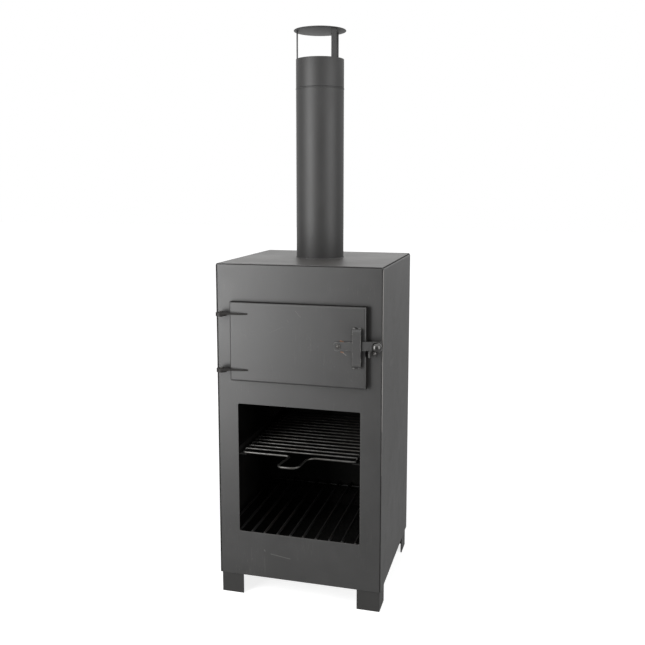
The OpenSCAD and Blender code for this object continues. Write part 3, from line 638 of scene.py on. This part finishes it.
def weld_bead_tree():
    """A rippled weld bead along each path, with tapered ends and an uneven width."""
    graph, given, made = start_growth("Weld bead", Width=0.003, Ripple=0.0016, Depth=0.16, Seed=0.0)
    path = graph.out("GeometryNodeMeshToCurve", {"Mesh": given["Geometry"]})
    fine = graph.node("GeometryNodeResampleCurve", mode="LENGTH")
    graph.feed(fine.inputs["Curve"], path)
    graph.feed(fine.inputs["Length"], graph.over(given["Ripple"], 4.0))
    far = graph.node("GeometryNodeSplineParameter").outputs["Length"]
    whole = graph.node("GeometryNodeSplineLength").outputs["Length"]
    turns = graph.over(graph.times(far, math.pi), given["Ripple"])
    wave = graph.math("ABSOLUTE", graph.math("SINE", turns))
    place = graph.out("GeometryNodeInputPosition")
    inputs = {"Vector": place, "W": given["Seed"], "Scale": graph.over(0.35, given["Ripple"]), "Detail": 2.0}
    noise = graph.node("ShaderNodeTexNoise", inputs, noise_dimensions="4D").outputs["Fac"]
    size = graph.minus(1.0, graph.times(given["Depth"], graph.minus(1.0, wave)))
    size = graph.times(size, graph.span(noise, 0.3, 0.7, 0.82, 1.14))
    ends = graph.math("MINIMUM", far, graph.minus(whole, far))
    size = graph.times(size, graph.span(ends, 0.0, given["Width"], 0.45, 1.0))
    bead = graph.tube(fine.outputs[0], 10, graph.times(given["Width"], 0.5), size)
    tree_end(graph, bead, given, made)


def weld_dab_tree():
    """A small round weld at each point, each of its own size."""
    graph, given, made = start_growth("Weld dabs", Size=0.0016, Flatness=0.6, Seed=3)
    ball = graph.out("GeometryNodeMeshIcoSphere", {"Radius": given["Size"], "Subdivisions": 2})
    vary = graph.node("FunctionNodeRandomValue", {"Min": 0.82, "Max": 1.18, "Seed": given["Seed"]}).outputs[1]
    squash = graph.out("ShaderNodeCombineXYZ", {"X": vary, "Y": vary, "Z": given["Flatness"]})
    turn = graph.node("FunctionNodeRandomValue", {"Min": 0.0, "Max": 6.28, "Seed": given["Seed"]}).outputs[1]
    spin = graph.out("ShaderNodeCombineXYZ", {"X": 0.0, "Y": 0.0, "Z": turn})
    inputs = {"Points": given["Geometry"], "Instance": ball, "Scale": squash}
    dabs = graph.node("GeometryNodeInstanceOnPoints", inputs)
    graph.feed(dabs.inputs["Rotation"], graph.out("FunctionNodeEulerToRotation", {"Euler": spin}))
    tree_end(graph, dabs.outputs[0], given, made)


def grow(name, tree_name, finish, body, slot, *nodes, guide=None, **values):
    """Runs a tree once on a guide mesh, and puts what it makes in the scene as a plain mesh."""
    tree = bpy.data.node_groups[tree_name]
    carrier = placed("carrier", guide or bpy.data.meshes.new("guide"))
    modifier = carrier.modifiers.new("grow", "NODES")
    modifier.node_group = tree
    values["Material"] = bpy.data.materials[finish]
    sockets = {s.name: s.identifier for s in tree.interface.items_tree if s.in_out == "INPUT"}
    for label, value in values.items():
        modifier[sockets[label]] = tuple(value) if isinstance(value, Vector) else value
    depsgraph = bpy.context.evaluated_depsgraph_get()
    mesh = bpy.data.meshes.new_from_object(carrier.evaluated_get(depsgraph), depsgraph=depsgraph)
    bpy.data.objects.remove(carrier)
    mesh.set_sharp_from_angle(angle=math.radians(40))
    return add_piece(name, mesh, finish, body, slot, *nodes)


# Settings


def number_setting(name, description, default, **limits):
    return bpy.props.FloatProperty(name=name, description=description, default=default, **limits)


def length_setting(name, description, default):
    return number_setting(name, description, default, unit="LENGTH")


def colour_setting(name, description, default):
    return bpy.props.FloatVectorProperty(
        name=name, description=description, default=default, subtype="COLOR", size=3, min=0, max=1
    )


class ChimeneaPaint(bpy.types.PropertyGroup):
    """Colours and gloss of the painted and bare steel."""

    front: colour_setting("Front paint", "Colour of the front, door, legs and pipe", (0.026, 0.0255, 0.025))
    # The side paint is the front's paint made a little lighter, as painted light on the sides and top.
    side: colour_setting("Side paint", "Colour of the sides and top", (0.027, 0.0265, 0.026))
    roughness: number_setting("Roughness", "Roughness of the sprayed paint", 0.41, min=0.1, max=0.9)
    # The chamber's colour is near black: soot, and painted shade of the closed chamber.
    soot_and_shade: colour_setting("Soot", "Colour of the steel inside the chamber", (0.009, 0.0086, 0.008))


class ChimeneaGrate(bpy.types.PropertyGroup):
    """Rods of the cooking grate and the fire grate."""

    wire_radius: length_setting("Wire radius", "Radius of a cross wire", 0.002)
    rail_radius: length_setting("Frame radius", "Radius of the frame's rod", 0.0025)
    bar_radius: length_setting("Fire bar radius", "Radius of a fire bar", 0.003)
    unevenness: length_setting("Unevenness", "How far a wire may be out of its place", 0.0003)


class ChimeneaWelds(bpy.types.PropertyGroup):
    """Weld beads on the hinges, pipe and cowl."""

    width: length_setting("Bead width", "Width of a hinge's weld bead", 0.003)
    ripple: length_setting("Ripple", "Distance from one ripple of a bead to the next", 0.0016)


class ChimeneaStage(bpy.types.PropertyGroup):
    """Light and floor."""

    key: number_setting("Left light", "Power of the soft light at the left front", 42.0, unit="POWER")
    fill: number_setting("Right light", "Power of the soft light at the right", 19.8, unit="POWER")
    ambient: number_setting("Room light", "Even light from all round", 0.2, min=0, max=2)


# Operators


class CHIMENEA_OT_finishes(bpy.types.Operator):
    """Makes the paints, steels and stone, and gives the CAD nodes theirs"""

    bl_idname = "chimenea.finishes"
    bl_label = "Finishes"

    def execute(self, context):
        paint = context.scene.chimenea_paint
        for build in (coat_group, marks_group, edge_group, streak_group, speck_group,
                      bar_row_tree, bent_rod_tree, weld_bead_tree, weld_dab_tree):
            build()
        front, side, rough = tuple(paint.front), tuple(paint.side), paint.roughness
        far, lit_edge = 1000, (0.33, 0.32, 0.3, 1)
        # The inside boxes mark where the paint turns to painted shade: inside the body, and on the door's flanges and
        # inner face.
        front_inside = (spot(-far, 0.8, -far), spot(far, 374.2, far))
        wrap_inside = (spot(-199.2, 0.8, -far), spot(199.2, 374.2, 814.2))
        door_inside = (spot(-far, -14, -far), spot(far, 1, far))
        paint_finish("front_coat", front, rough, streaks=FRONT_STREAKS, inside=front_inside)
        paint_finish("door_coat", front, rough, streaks=DOOR_STREAKS, inside=door_inside)
        # The sides and top: the pale film on the top is dust and painted sheen.
        paint_finish("side_coat", side, rough, streaks=SIDE_STREAKS, top_dust_and_sheen=0.2, inside=wrap_inside)
        # Painted highlight: a wide, pale edge colour outlines the latch bar, guide and catch where their rounded
        # edges catch the light.
        paint_finish("latch_coat", front, rough, edges=0.9, rim=0.0022, edge_colour=lit_edge)
        paint_finish("pipe_coat", front, rough + 0.1, marks=0.2, specular=0.62)
        paint_finish("leg_coat", toned(front, 0.85), rough + 0.03, low_dust=0.02, specular=0.5)
        paint_finish("hinge_coat", (0.012, 0.0105, 0.0095), rough + 0.1, edges=0.3, specular=0.35)
        # Painted highlight: the guide's weld dabs are lighter than the paint, with pale rims where their round shapes
        # catch the light.
        paint_finish("weld_highlight_coat", (0.06, 0.0585, 0.056), rough - 0.04, edges=1.0, rim=0.002,
                     edge_colour=lit_edge)
        paint_finish("weld_coat", toned(front, 0.85), rough + 0.08, edges=0.0, marks=0.0)
        # Chamber parts: soot, and painted shade of the closed chamber.
        soot_and_shade_finish("chamber_soot_and_shade", tuple(paint.soot_and_shade), 0.95)
        # The cooking grate's wires darken from front to back as painted shade.
        steel_finish("grate_steel", (0.115, 0.113, 0.109), 0.38, heat=(0.07, 0.065, 0.058, 1),
                     shaded_depths=(spot(0, 10, 0).y, spot(0, 340, 0).y))
        steel_finish("fire_bar_steel", (0.012, 0.0117, 0.0112), 0.44, metallic=0.0, heat=(0.014, 0.011, 0.009, 1),
                     specks=0.05)
        steel_finish("bolt_steel", (0.3, 0.29, 0.28), 0.35, metallic=0.9, heat=(0.12, 0.09, 0.06, 1))
        steel_finish("rivet_steel", (0.1, 0.097, 0.092), 0.36, metallic=0.9)
        knob_finish("knob_gloss", (0.085, 0.084, 0.082))
        stone_finish("baked_stone", (0.55, 0.46, 0.35))
        for finish, nodes in {
            "side_coat": "body_wrap",
            "front_coat": "front_panel back_panel",
            "door_coat": "door_panel",
            "pipe_coat": "cowl_struts",
            "latch_coat": "latch_bar latch_guide latch_catch",
            "leg_coat": "leg_front_left leg_front_right leg_rear_left leg_rear_right",
            "hinge_coat": "hinge_body_tab_upper hinge_body_tab_lower hinge_door_tab_upper hinge_door_tab_lower",
            "chamber_soot_and_shade": "bottom_plate oven_floor oven_floor_ledge_left oven_floor_ledge_right grate_runner_left"
                            " grate_runner_right fire_grate_ledge_front fire_grate_ledge_rear flue_spigot",
        }.items():
            for node in nodes.split():
                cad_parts[node].material_slots[0].material = bpy.data.materials[finish]
        return {"FINISHED"}


class CHIMENEA_OT_chimney(bpy.types.Operator):
    """Builds the pipe with its bead, the cowl's collar with its crimped end, and the disc"""

    bl_idname = "chimenea.chimney"
    bl_label = "Chimney and cowl"

    def execute(self, context):
        place, bead = standing(PIPE_X, PIPE_Y), 0.8
        profile = eased(
            [(PIPE_R, BODY_TOP), (PIPE_R, PIPE_TOP - 3), (PIPE_R + bead, PIPE_TOP - 2.4),
             (PIPE_R + bead, PIPE_TOP - 0.6), (PIPE_R, PIPE_TOP), (PIPE_BORE, PIPE_TOP), (PIPE_BORE, BODY_TOP)],
            [0.1, 0.5, 0.5, 0.5, 0.3, 0.4, 0.1],
        )
        mesh = turned("pipe", profile, 144, place, 30)
        add_piece("chimney_pipe_rolled", mesh, "pipe_coat", "body", "front_paint", "chimney_pipe")

        def crimped(r, z, angle):
            depth = max(0.0, min(1.0, (COLLAR_LOW - 6 - z) / 8))
            return r - 0.45 * depth * (1 - math.cos(angle * 36))

        inner = REDUCED_R - 1.5
        steps = [COLLAR_LOW - 1 - k for k in range(0, 39, 2)]
        profile = eased(
            [(PIPE_R, COLLAR_LOW), (PIPE_R, COLLAR_TOP), (PIPE_BORE, COLLAR_TOP), (PIPE_BORE, COLLAR_LOW + 1.5),
             (inner, COLLAR_LOW + 1.5)],
            [0.4, 0.5, 0.5, 0.3, 0],
        )
        profile += [(inner, z) for z in steps] + [(REDUCED_R, z) for z in reversed(steps)] + [(REDUCED_R, COLLAR_LOW)]
        mesh = turned("collar", profile, 288, place, 30, shape=crimped)
        add_piece("cowl_collar_crimped", mesh, "pipe_coat", "cowl", "front_paint", "cowl_collar")

        profile = eased([(0, DISC_LOW), (DISC_R, DISC_LOW), (DISC_R, DISC_TOP), (0, DISC_TOP)], [0, 0.7, 0.9, 0])
        mesh = turned("disc", profile, 144, place, 30, closed=False)
        add_piece("cowl_disc_pressed", mesh, "pipe_coat", "cowl", "front_paint", "cowl_disc")
        return {"FINISHED"}


class CHIMENEA_OT_cooking_grate(bpy.types.Operator):
    """Builds the cooking grate's frame with its handle loop, its wires and their welds"""

    bl_idname = "chimenea.cooking_grate"
    bl_label = "Cooking grate"

    def execute(self, context):
        grate = context.scene.chimenea_grate
        look = ("grate_steel", "cooking_grate", "rod_steel")
        z, half, front, back = 359.5, 138, 5, 355
        wires, first, pitch = 14, front + 15.5, 23.9
        corners = [(-half, front, 6), (-20, front, 9), (-30, -71, 13), (19, -71, 20), (24, front, 24),
                   (half, front, 6), (half, back, 6), (-half, back, 6), (-half, front, 6)]
        guide = path_mesh([[spot(x, y, z) for x, y, r in corners]], [[r * MM for x, y, r in corners]])
        grow("cooking_grate_rod", "Bent rod", *look, "cooking_grate_frame", guide=guide,
             Radius=grate.rail_radius, Sides=24)
        grow("cooking_grate_wire_row", "Row of bars", *look, "cooking_grate_wires", Count=wires,
             Start=spot(-half, first, 364.1), Step=Vector((0, pitch * MM, 0)), Run=Vector((2 * half * MM, 0, 0)),
             Radius=grate.wire_radius, Chamfer=0.0005, Unevenness=grate.unevenness, Seed=4)
        dabs = [[spot(side * half + dx, first + i * pitch, 362.1)]
                for i in range(wires) for side in (-1, 1) for dx in (-0.9, 0.9)]
        grow("cooking_grate_welds", "Weld dabs", *look, guide=path_mesh(dabs), Size=0.0015, Flatness=0.9, Seed=8)
        return {"FINISHED"}


class CHIMENEA_OT_fire_grate(bpy.types.Operator):
    """Builds the fire grate: its long bars, and the cross bars under them"""

    bl_idname = "chimenea.fire_grate"
    bl_label = "Fire grate"

    def execute(self, context):
        r = context.scene.chimenea_grate.bar_radius
        look = ("fire_bar_steel", "body", "inner_steel")
        low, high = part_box("fire_grate_bars")
        grow("fire_grate_bar_row", "Row of bars", *look, "fire_grate_bars", Count=12,
             Start=Vector((low.x + r, low.y, (low.z + high.z) / 2)), Step=Vector((32 * MM, 0, 0)),
             Run=Vector((0, high.y - low.y, 0)), Radius=r, Chamfer=0.0009, Unevenness=0.0006, Seed=2)
        low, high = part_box("fire_grate_cross_bars")
        grow("fire_grate_cross_bar_pair", "Row of bars", *look, "fire_grate_cross_bars", Count=2,
             Start=Vector((low.x, low.y + r, (low.z + high.z) / 2)), Step=Vector((0, high.y - low.y - 2 * r, 0)),
             Run=Vector((high.x - low.x, 0, 0)), Radius=r, Chamfer=0.0009, Unevenness=0.0, Seed=2)
        return {"FINISHED"}


class CHIMENEA_OT_hinges(bpy.types.Operator):
    """Builds the hinge rivets with their domed heads"""

    bl_idname = "chimenea.hinges"
    bl_label = "Hinge rivets"

    def execute(self, context):
        bm = bmesh.new()
        reach = 4.6
        for z in HINGE_ZS:
            profile = [(0, z + reach + 3)] + eased(
                [(0, z + reach + 3), (4.6, z + reach + 2.2), (5, z + reach), (3, z + reach), (3, z - 4),
                 (5, z - 4), (4.6, z - 6.2), (0, z - 7)],
                [0, 1.6, 0.3, 0, 0, 0.3, 1.6, 0], closed=False)[1:]
            turn_profile(bm, profile, 32, standing(HINGE_X, HINGE_Y), closed=False)
        add_piece("hinge_rivets", mesh_from(bm, "rivets"), "rivet_steel", "body", "fastener_steel", "hinge_pins")
        return {"FINISHED"}


def nut_mesh(radius, bore, thick, matrix):
    """Hexagon nut with chamfered corners and a countersunk bore, seated on z = 0."""
    flat = radius * math.cos(math.pi / 6)

    def shape(r, z, angle):
        part = (angle + math.pi / 6) % (math.pi / 3) - math.pi / 6
        return flat / math.cos(part) if r == radius else r

    profile = [(bore, 0.5), (bore + 0.5, 0), (flat * 0.97, 0), (radius, 0.35), (radius, thick - 0.55),
               (flat * 0.96, thick), (bore + 0.5, thick), (bore, thick - 0.5)]
    return turned("nut", profile, 72, matrix, 25, shape=shape)


class CHIMENEA_OT_latch(bpy.types.Operator):
    """Builds the latch's ball knob, pivot bolt, washer and nuts, and the catch's screw"""

    bl_idname = "chimenea.latch"
    bl_label = "Latch fittings"

    def execute(self, context):
        # Knob: stud, neck with a collar, and ball
        face, along, ball, neck = -21.3, 91.3, 11.5, 4.5
        middle = 4 + math.sqrt(ball ** 2 - neck ** 2)
        profile = [(0, -4.0), (3, -4.0), (3, 0.02), (neck + 1.0, 0.02), (neck + 1.3, 0.35), (neck + 1.3, 1.1),
                   (neck + 0.9, 1.5), (neck + 0.1, 1.9), (neck, 2.6), (neck + 0.15, 3.3)]
        start = math.asin(neck / ball) + 0.06
        for k in range(37):
            angle = start + (math.pi - start) * k / 36
            profile.append((max(0.0, ball * math.sin(angle)), middle - ball * math.cos(angle)))
        mesh = turned("knob", profile, 64, latched(along, face), 30, closed=False)
        add_piece("latch_ball_knob", mesh, "knob_gloss", "latch", "knob", "latch_knob")

        # Pivot bolt: shank, flange and domed head
        fastener = ("door", "fastener_steel")
        profile = [(0, -13), (3, -13), (3, 0), (5.9, 0.02), (6, 0.2), (6, 0.9), (5.7, 1.25), (4.7, 1.35), (4.4, 1.2)]
        profile += dome(4.4, 1.2, 2.2, 12)
        mesh = turned("pivot", profile, 48, facing(spot(PIVOT_X, -21.6, PIVOT_Z)), closed=False)
        add_piece("latch_pivot_bolt_domed", mesh, "rivet_steel", *fastener, "latch_pivot_bolt")
        profile = eased([(3.05, 0), (8, 0), (8, 1), (3.05, 1)], 0.25)
        mesh = turned("washer", profile, 48, facing(spot(PIVOT_X, DOOR_FACE, PIVOT_Z)))
        add_piece("latch_pivot_washer_punched", mesh, "bolt_steel", *fastener, "latch_pivot_washer")
        mesh = nut_mesh(5.8, 3.02, 5, facing(spot(PIVOT_X, DOOR_FACE + 1.5, PIVOT_Z), -90))
        add_piece("latch_pivot_nut_hex", mesh, "bolt_steel", *fastener, "latch_pivot_nut")

        # Catch screw with a domed head, and its nut behind the front
        fastener = ("body", "fastener_steel")
        low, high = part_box("catch_screw")
        middle = (low + high) / 2
        profile = [(0, -7), (2.2, -7), (2.5, -6.7), (2.5, 3.0), (4.5, 3.02), (4.5, 3.5)] + dome(4.5, 3.5, 2.1, 10, 1)
        mesh = turned("screw", profile, 48, facing(Vector((middle.x, FRONT_Y, middle.z))), closed=False)
        add_piece("catch_screw_domed", mesh, "bolt_steel", *fastener, "catch_screw")
        mesh = nut_mesh(4.5, 2.52, 4, facing(Vector((middle.x, FRONT_Y + 1.5 * MM, middle.z)), -90))
        add_piece("catch_nut_hex", mesh, "bolt_steel", *fastener, "catch_nut")
        return {"FINISHED"}


class CHIMENEA_OT_stone(bpy.types.Operator):
    """Builds the baking stone with eased edges and a slightly uneven face"""

    bl_idname = "chimenea.stone"
    bl_label = "Baking stone"

    def execute(self, context):
        low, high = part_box("pizza_stone")
        bm = bmesh.new()
        bmesh.ops.create_cube(bm, size=1.0)
        size = high - low
        matrix = Matrix.Translation((low + high) / 2) @ Matrix.Diagonal((*size, 1))
        bmesh.ops.transform(bm, matrix=matrix, verts=bm.verts)
        upright = [e for e in bm.edges if abs(e.verts[0].co.z - e.verts[1].co.z) > size.z / 2]
        bmesh.ops.bevel(bm, geom=upright, offset=9 * MM, segments=6, affect="EDGES", profile=0.5)
        rim = [e for e in bm.edges if len(e.link_faces) == 2 and e.calc_face_angle(0) > 1.2]
        bmesh.ops.bevel(bm, geom=rim, offset=2 * MM, segments=3, affect="EDGES", profile=0.5)
        mesh = mesh_from(bm, "stone", 50)
        add_piece("pizza_stone_pressed", mesh, "baked_stone", "body", "baking_stone", "pizza_stone")
        return {"FINISHED"}


class CHIMENEA_OT_welds(bpy.types.Operator):
    """Lays the welds on hinges, guide, pipe and cowl"""

    bl_idname = "chimenea.welds"
    bl_label = "Weld beads"

    def execute(self, context):
        welds = context.scene.chimenea_welds

        def bead(name, paths, body, width, seed, depth=0.16):
            grow(name, "Weld bead", "weld_coat", body, "front_paint", guide=path_mesh(paths),
                 Width=width, Ripple=welds.ripple, Depth=depth, Seed=float(seed))

        def seam(low, high):
            return [[spot(PIPE_X, PIPE_Y + PIPE_R - 0.5, z) for z in (low, high)]]

        wide = welds.width
        doors, bodies = [], []
        for z in HINGE_ZS:
            doors += [[spot(-152, DOOR_FACE, z + dz), spot(-126, DOOR_FACE, z + dz)] for dz in (0.3, 4.3)]
            bodies += [[spot(-191, 0, z + dz), spot(-173, 0, z + dz)] for dz in (0, -4)]
        bead("hinge_door_welds", doors, "door", wide * 0.8, 1)
        bead("hinge_body_welds", bodies, "body", wide, 2)
        guide_z, guide_half = PIVOT_Z - 2.5, 46.9
        dabs = [[spot(x, DOOR_FACE - out, guide_z + side * (guide_half - out))]
                for side in (-1, 1) for x, out in ((136.5, 1.6), (138.6, 1.9), (149.5, 1.9), (151.6, 1.6))]
        # The guide's weld dabs carry a painted highlight on their rims.
        grow("latch_guide_welds", "Weld dabs", "weld_highlight_coat", "door", "front_paint", guide=path_mesh(dabs),
             Size=0.0028, Flatness=0.85, Seed=5)
        ring = [spot(PIPE_X + PIPE_R * math.cos(a), PIPE_Y + PIPE_R * math.sin(a), BODY_TOP)
                for a in (2 * math.pi * k / 96 for k in range(97))]
        ring[-1] = ring[0].copy()
        bead("chimney_base_weld", [ring], "body", wide, 4, 0.12)
        bead("chimney_seam_weld", seam(BODY_TOP + 2, PIPE_TOP - 4), "body", wide * 0.9, 5, 0.1)
        bead("cowl_seam_weld", seam(COLLAR_LOW + 1, COLLAR_TOP - 1), "cowl", wide * 0.9, 6, 0.1)
        tops, strut_r, strut_half = [], 55.5, 6.5
        for turn in (-38, 59, 190):
            a = math.radians(turn)
            out = Vector((math.cos(a), math.sin(a), 0))
            across = Vector((-math.sin(a), math.cos(a), 0))
            middle = spot(PIPE_X, PIPE_Y, DISC_LOW) + out * strut_r * MM
            side = across * strut_half * MM
            tops.append([middle - side, middle + side])
            middle = spot(PIPE_X, PIPE_Y, COLLAR_TOP - 1) + out * strut_r * MM
            side = across * (strut_half + 1) * MM
            tops.append([middle - side, middle - side - Vector((0, 0, 40 * MM))])
        bead("cowl_strut_welds", tops, "cowl", wide * 1.1, 7, 0.25)
        return {"FINISHED"}


class CHIMENEA_OT_stage(bpy.types.Operator):
    """Sets the camera, the pale floor, the room light and two soft lights"""

    bl_idname = "chimenea.stage"
    bl_label = "Stage"

    def execute(self, context):
        scene, stage = context.scene, context.scene.chimenea_stage
        lens = bpy.data.cameras.new("camera")
        lens.lens, lens.sensor_width, lens.shift_x, lens.shift_y = 44.27, 36, 0, -0.055
        lens.clip_start, lens.clip_end = 0.05, 50
        camera = placed("camera", lens)
        camera.location = (0.52324, -1.86995, 1.0020)
        camera.rotation_euler = (math.radians(82.47), 0, math.radians(15.16))
        scene.camera = camera

        aim = Vector((0.0, 0.0, 0.8))
        for name, place, size, power in (
            ("left_light", (-1.02, -1.42, 0.9), (0.9, 2.2), stage.key),
            ("right_light", (1.6, -0.65, 1.0), (1.2, 1.8), stage.fill),
        ):
            lamp = bpy.data.lights.new(name, "AREA")
            lamp.shape, lamp.size, lamp.size_y, lamp.energy = "RECTANGLE", *size, power
            light = placed(name, lamp)
            light.location = place
            light.rotation_euler = (aim - Vector(place)).to_track_quat("-Z", "Y").to_euler()
            light.visible_camera = False

        scene.world = bpy.data.worlds.new("room")
        graph = emptied(scene.world)
        path = graph.node("ShaderNodeLightPath").outputs
        part = graph.axes(graph.node("ShaderNodeTexCoord").outputs["Generated"])
        behind = graph.span(part[1], -0.35, 0.85, 0.4, 1.0)
        behind = graph.math("MAXIMUM", behind, graph.span(part[2], 0.35, 0.9, 0.0, 1.6))
        level = graph.plus(graph.times(graph.mirrored(path), graph.minus(behind, stage.ambient)), stage.ambient)
        level = graph.plus(graph.times(path["Is Camera Ray"], graph.minus(1.0, level)), level)
        background = graph.out("ShaderNodeBackground", {"Color": (1, 1, 1, 1), "Strength": level})
        graph.node("ShaderNodeOutputWorld", {"Surface": background})

        mesh = bpy.data.meshes.new("floor")
        mesh.from_pydata([(-15, -15, 0), (15, -15, 0), (15, 15, 0), (-15, 15, 0)], [], [(0, 1, 2, 3)])
        floor = placed("floor", mesh)
        material = bpy.data.materials.new("pale_floor")
        graph = emptied(material)
        path = graph.node("ShaderNodeLightPath").outputs
        pale = graph.out("ShaderNodeBsdfDiffuse", {"Color": (0.55, 0.55, 0.55, 1)})
        place = graph.node("ShaderNodeTexCoord").outputs["Object"]
        away = graph.vector("LENGTH", place)
        shown = graph.times(path["Is Camera Ray"], graph.span(away, 0.5, 1.8, 0.82, 1.0))
        part = graph.axes(place)
        near = graph.span(part[0], 0.05, 0.35, 0.09, 0.16)
        far = graph.span(part[0], -1.0, 0.4, 1.0, 0.3)
        shone = graph.times(graph.mirrored(path), graph.span(part[1], 0.3, 4.5, near, far, smooth=False))
        lit = graph.out("ShaderNodeEmission", {"Strength": graph.math("MAXIMUM", shown, shone)})
        both = graph.node("ShaderNodeAddShader")
        graph.feed(both.inputs[0], pale)
        graph.feed(both.inputs[1], lit)
        graph.node("ShaderNodeOutputMaterial", {"Surface": both.outputs[0]})
        mesh.materials.append(material)
        scene.view_settings.view_transform = "Standard"
        return {"FINISHED"}


class CHIMENEA_PT_panel(bpy.types.Panel):
    """Lists the steps in the order that they run"""

    bl_label = "Chimenea"
    bl_idname = "CHIMENEA_PT_panel"
    bl_space_type = "VIEW_3D"
    bl_region_type = "UI"
    bl_category = "Chimenea"

    def draw(self, context):
        for step in STEPS:
            self.layout.operator(step.bl_idname)
        for group in SETTINGS:
            settings = getattr(context.scene, group)
            for name in settings.__annotations__:
                self.layout.prop(settings, name)


SETTINGS = {
    "chimenea_paint": ChimeneaPaint,
    "chimenea_grate": ChimeneaGrate,
    "chimenea_welds": ChimeneaWelds,
    "chimenea_stage": ChimeneaStage,
}
STEPS = (
    CHIMENEA_OT_stage,
    CHIMENEA_OT_finishes,
    CHIMENEA_OT_chimney,
    CHIMENEA_OT_cooking_grate,
    CHIMENEA_OT_fire_grate,
    CHIMENEA_OT_hinges,
    CHIMENEA_OT_latch,
    CHIMENEA_OT_stone,
    CHIMENEA_OT_welds,
)


def register():
    for group in SETTINGS.values():
        bpy.utils.register_class(group)
    for name, group in SETTINGS.items():
        setattr(bpy.types.Scene, name, bpy.props.PointerProperty(type=group))
    for cls in (*STEPS, CHIMENEA_PT_panel):
        bpy.utils.register_class(cls)


def unregister():
    for cls in (*STEPS, CHIMENEA_PT_panel):
        bpy.utils.unregister_class(cls)
    for name, group in SETTINGS.items():
        delattr(bpy.types.Scene, name)
        bpy.utils.unregister_class(group)


def main():
    """Runs every step."""
    register()
    for step in STEPS:
        getattr(bpy.ops.chimenea, step.bl_idname.split(".")[1])()


if __name__ == "__main__":
    main()
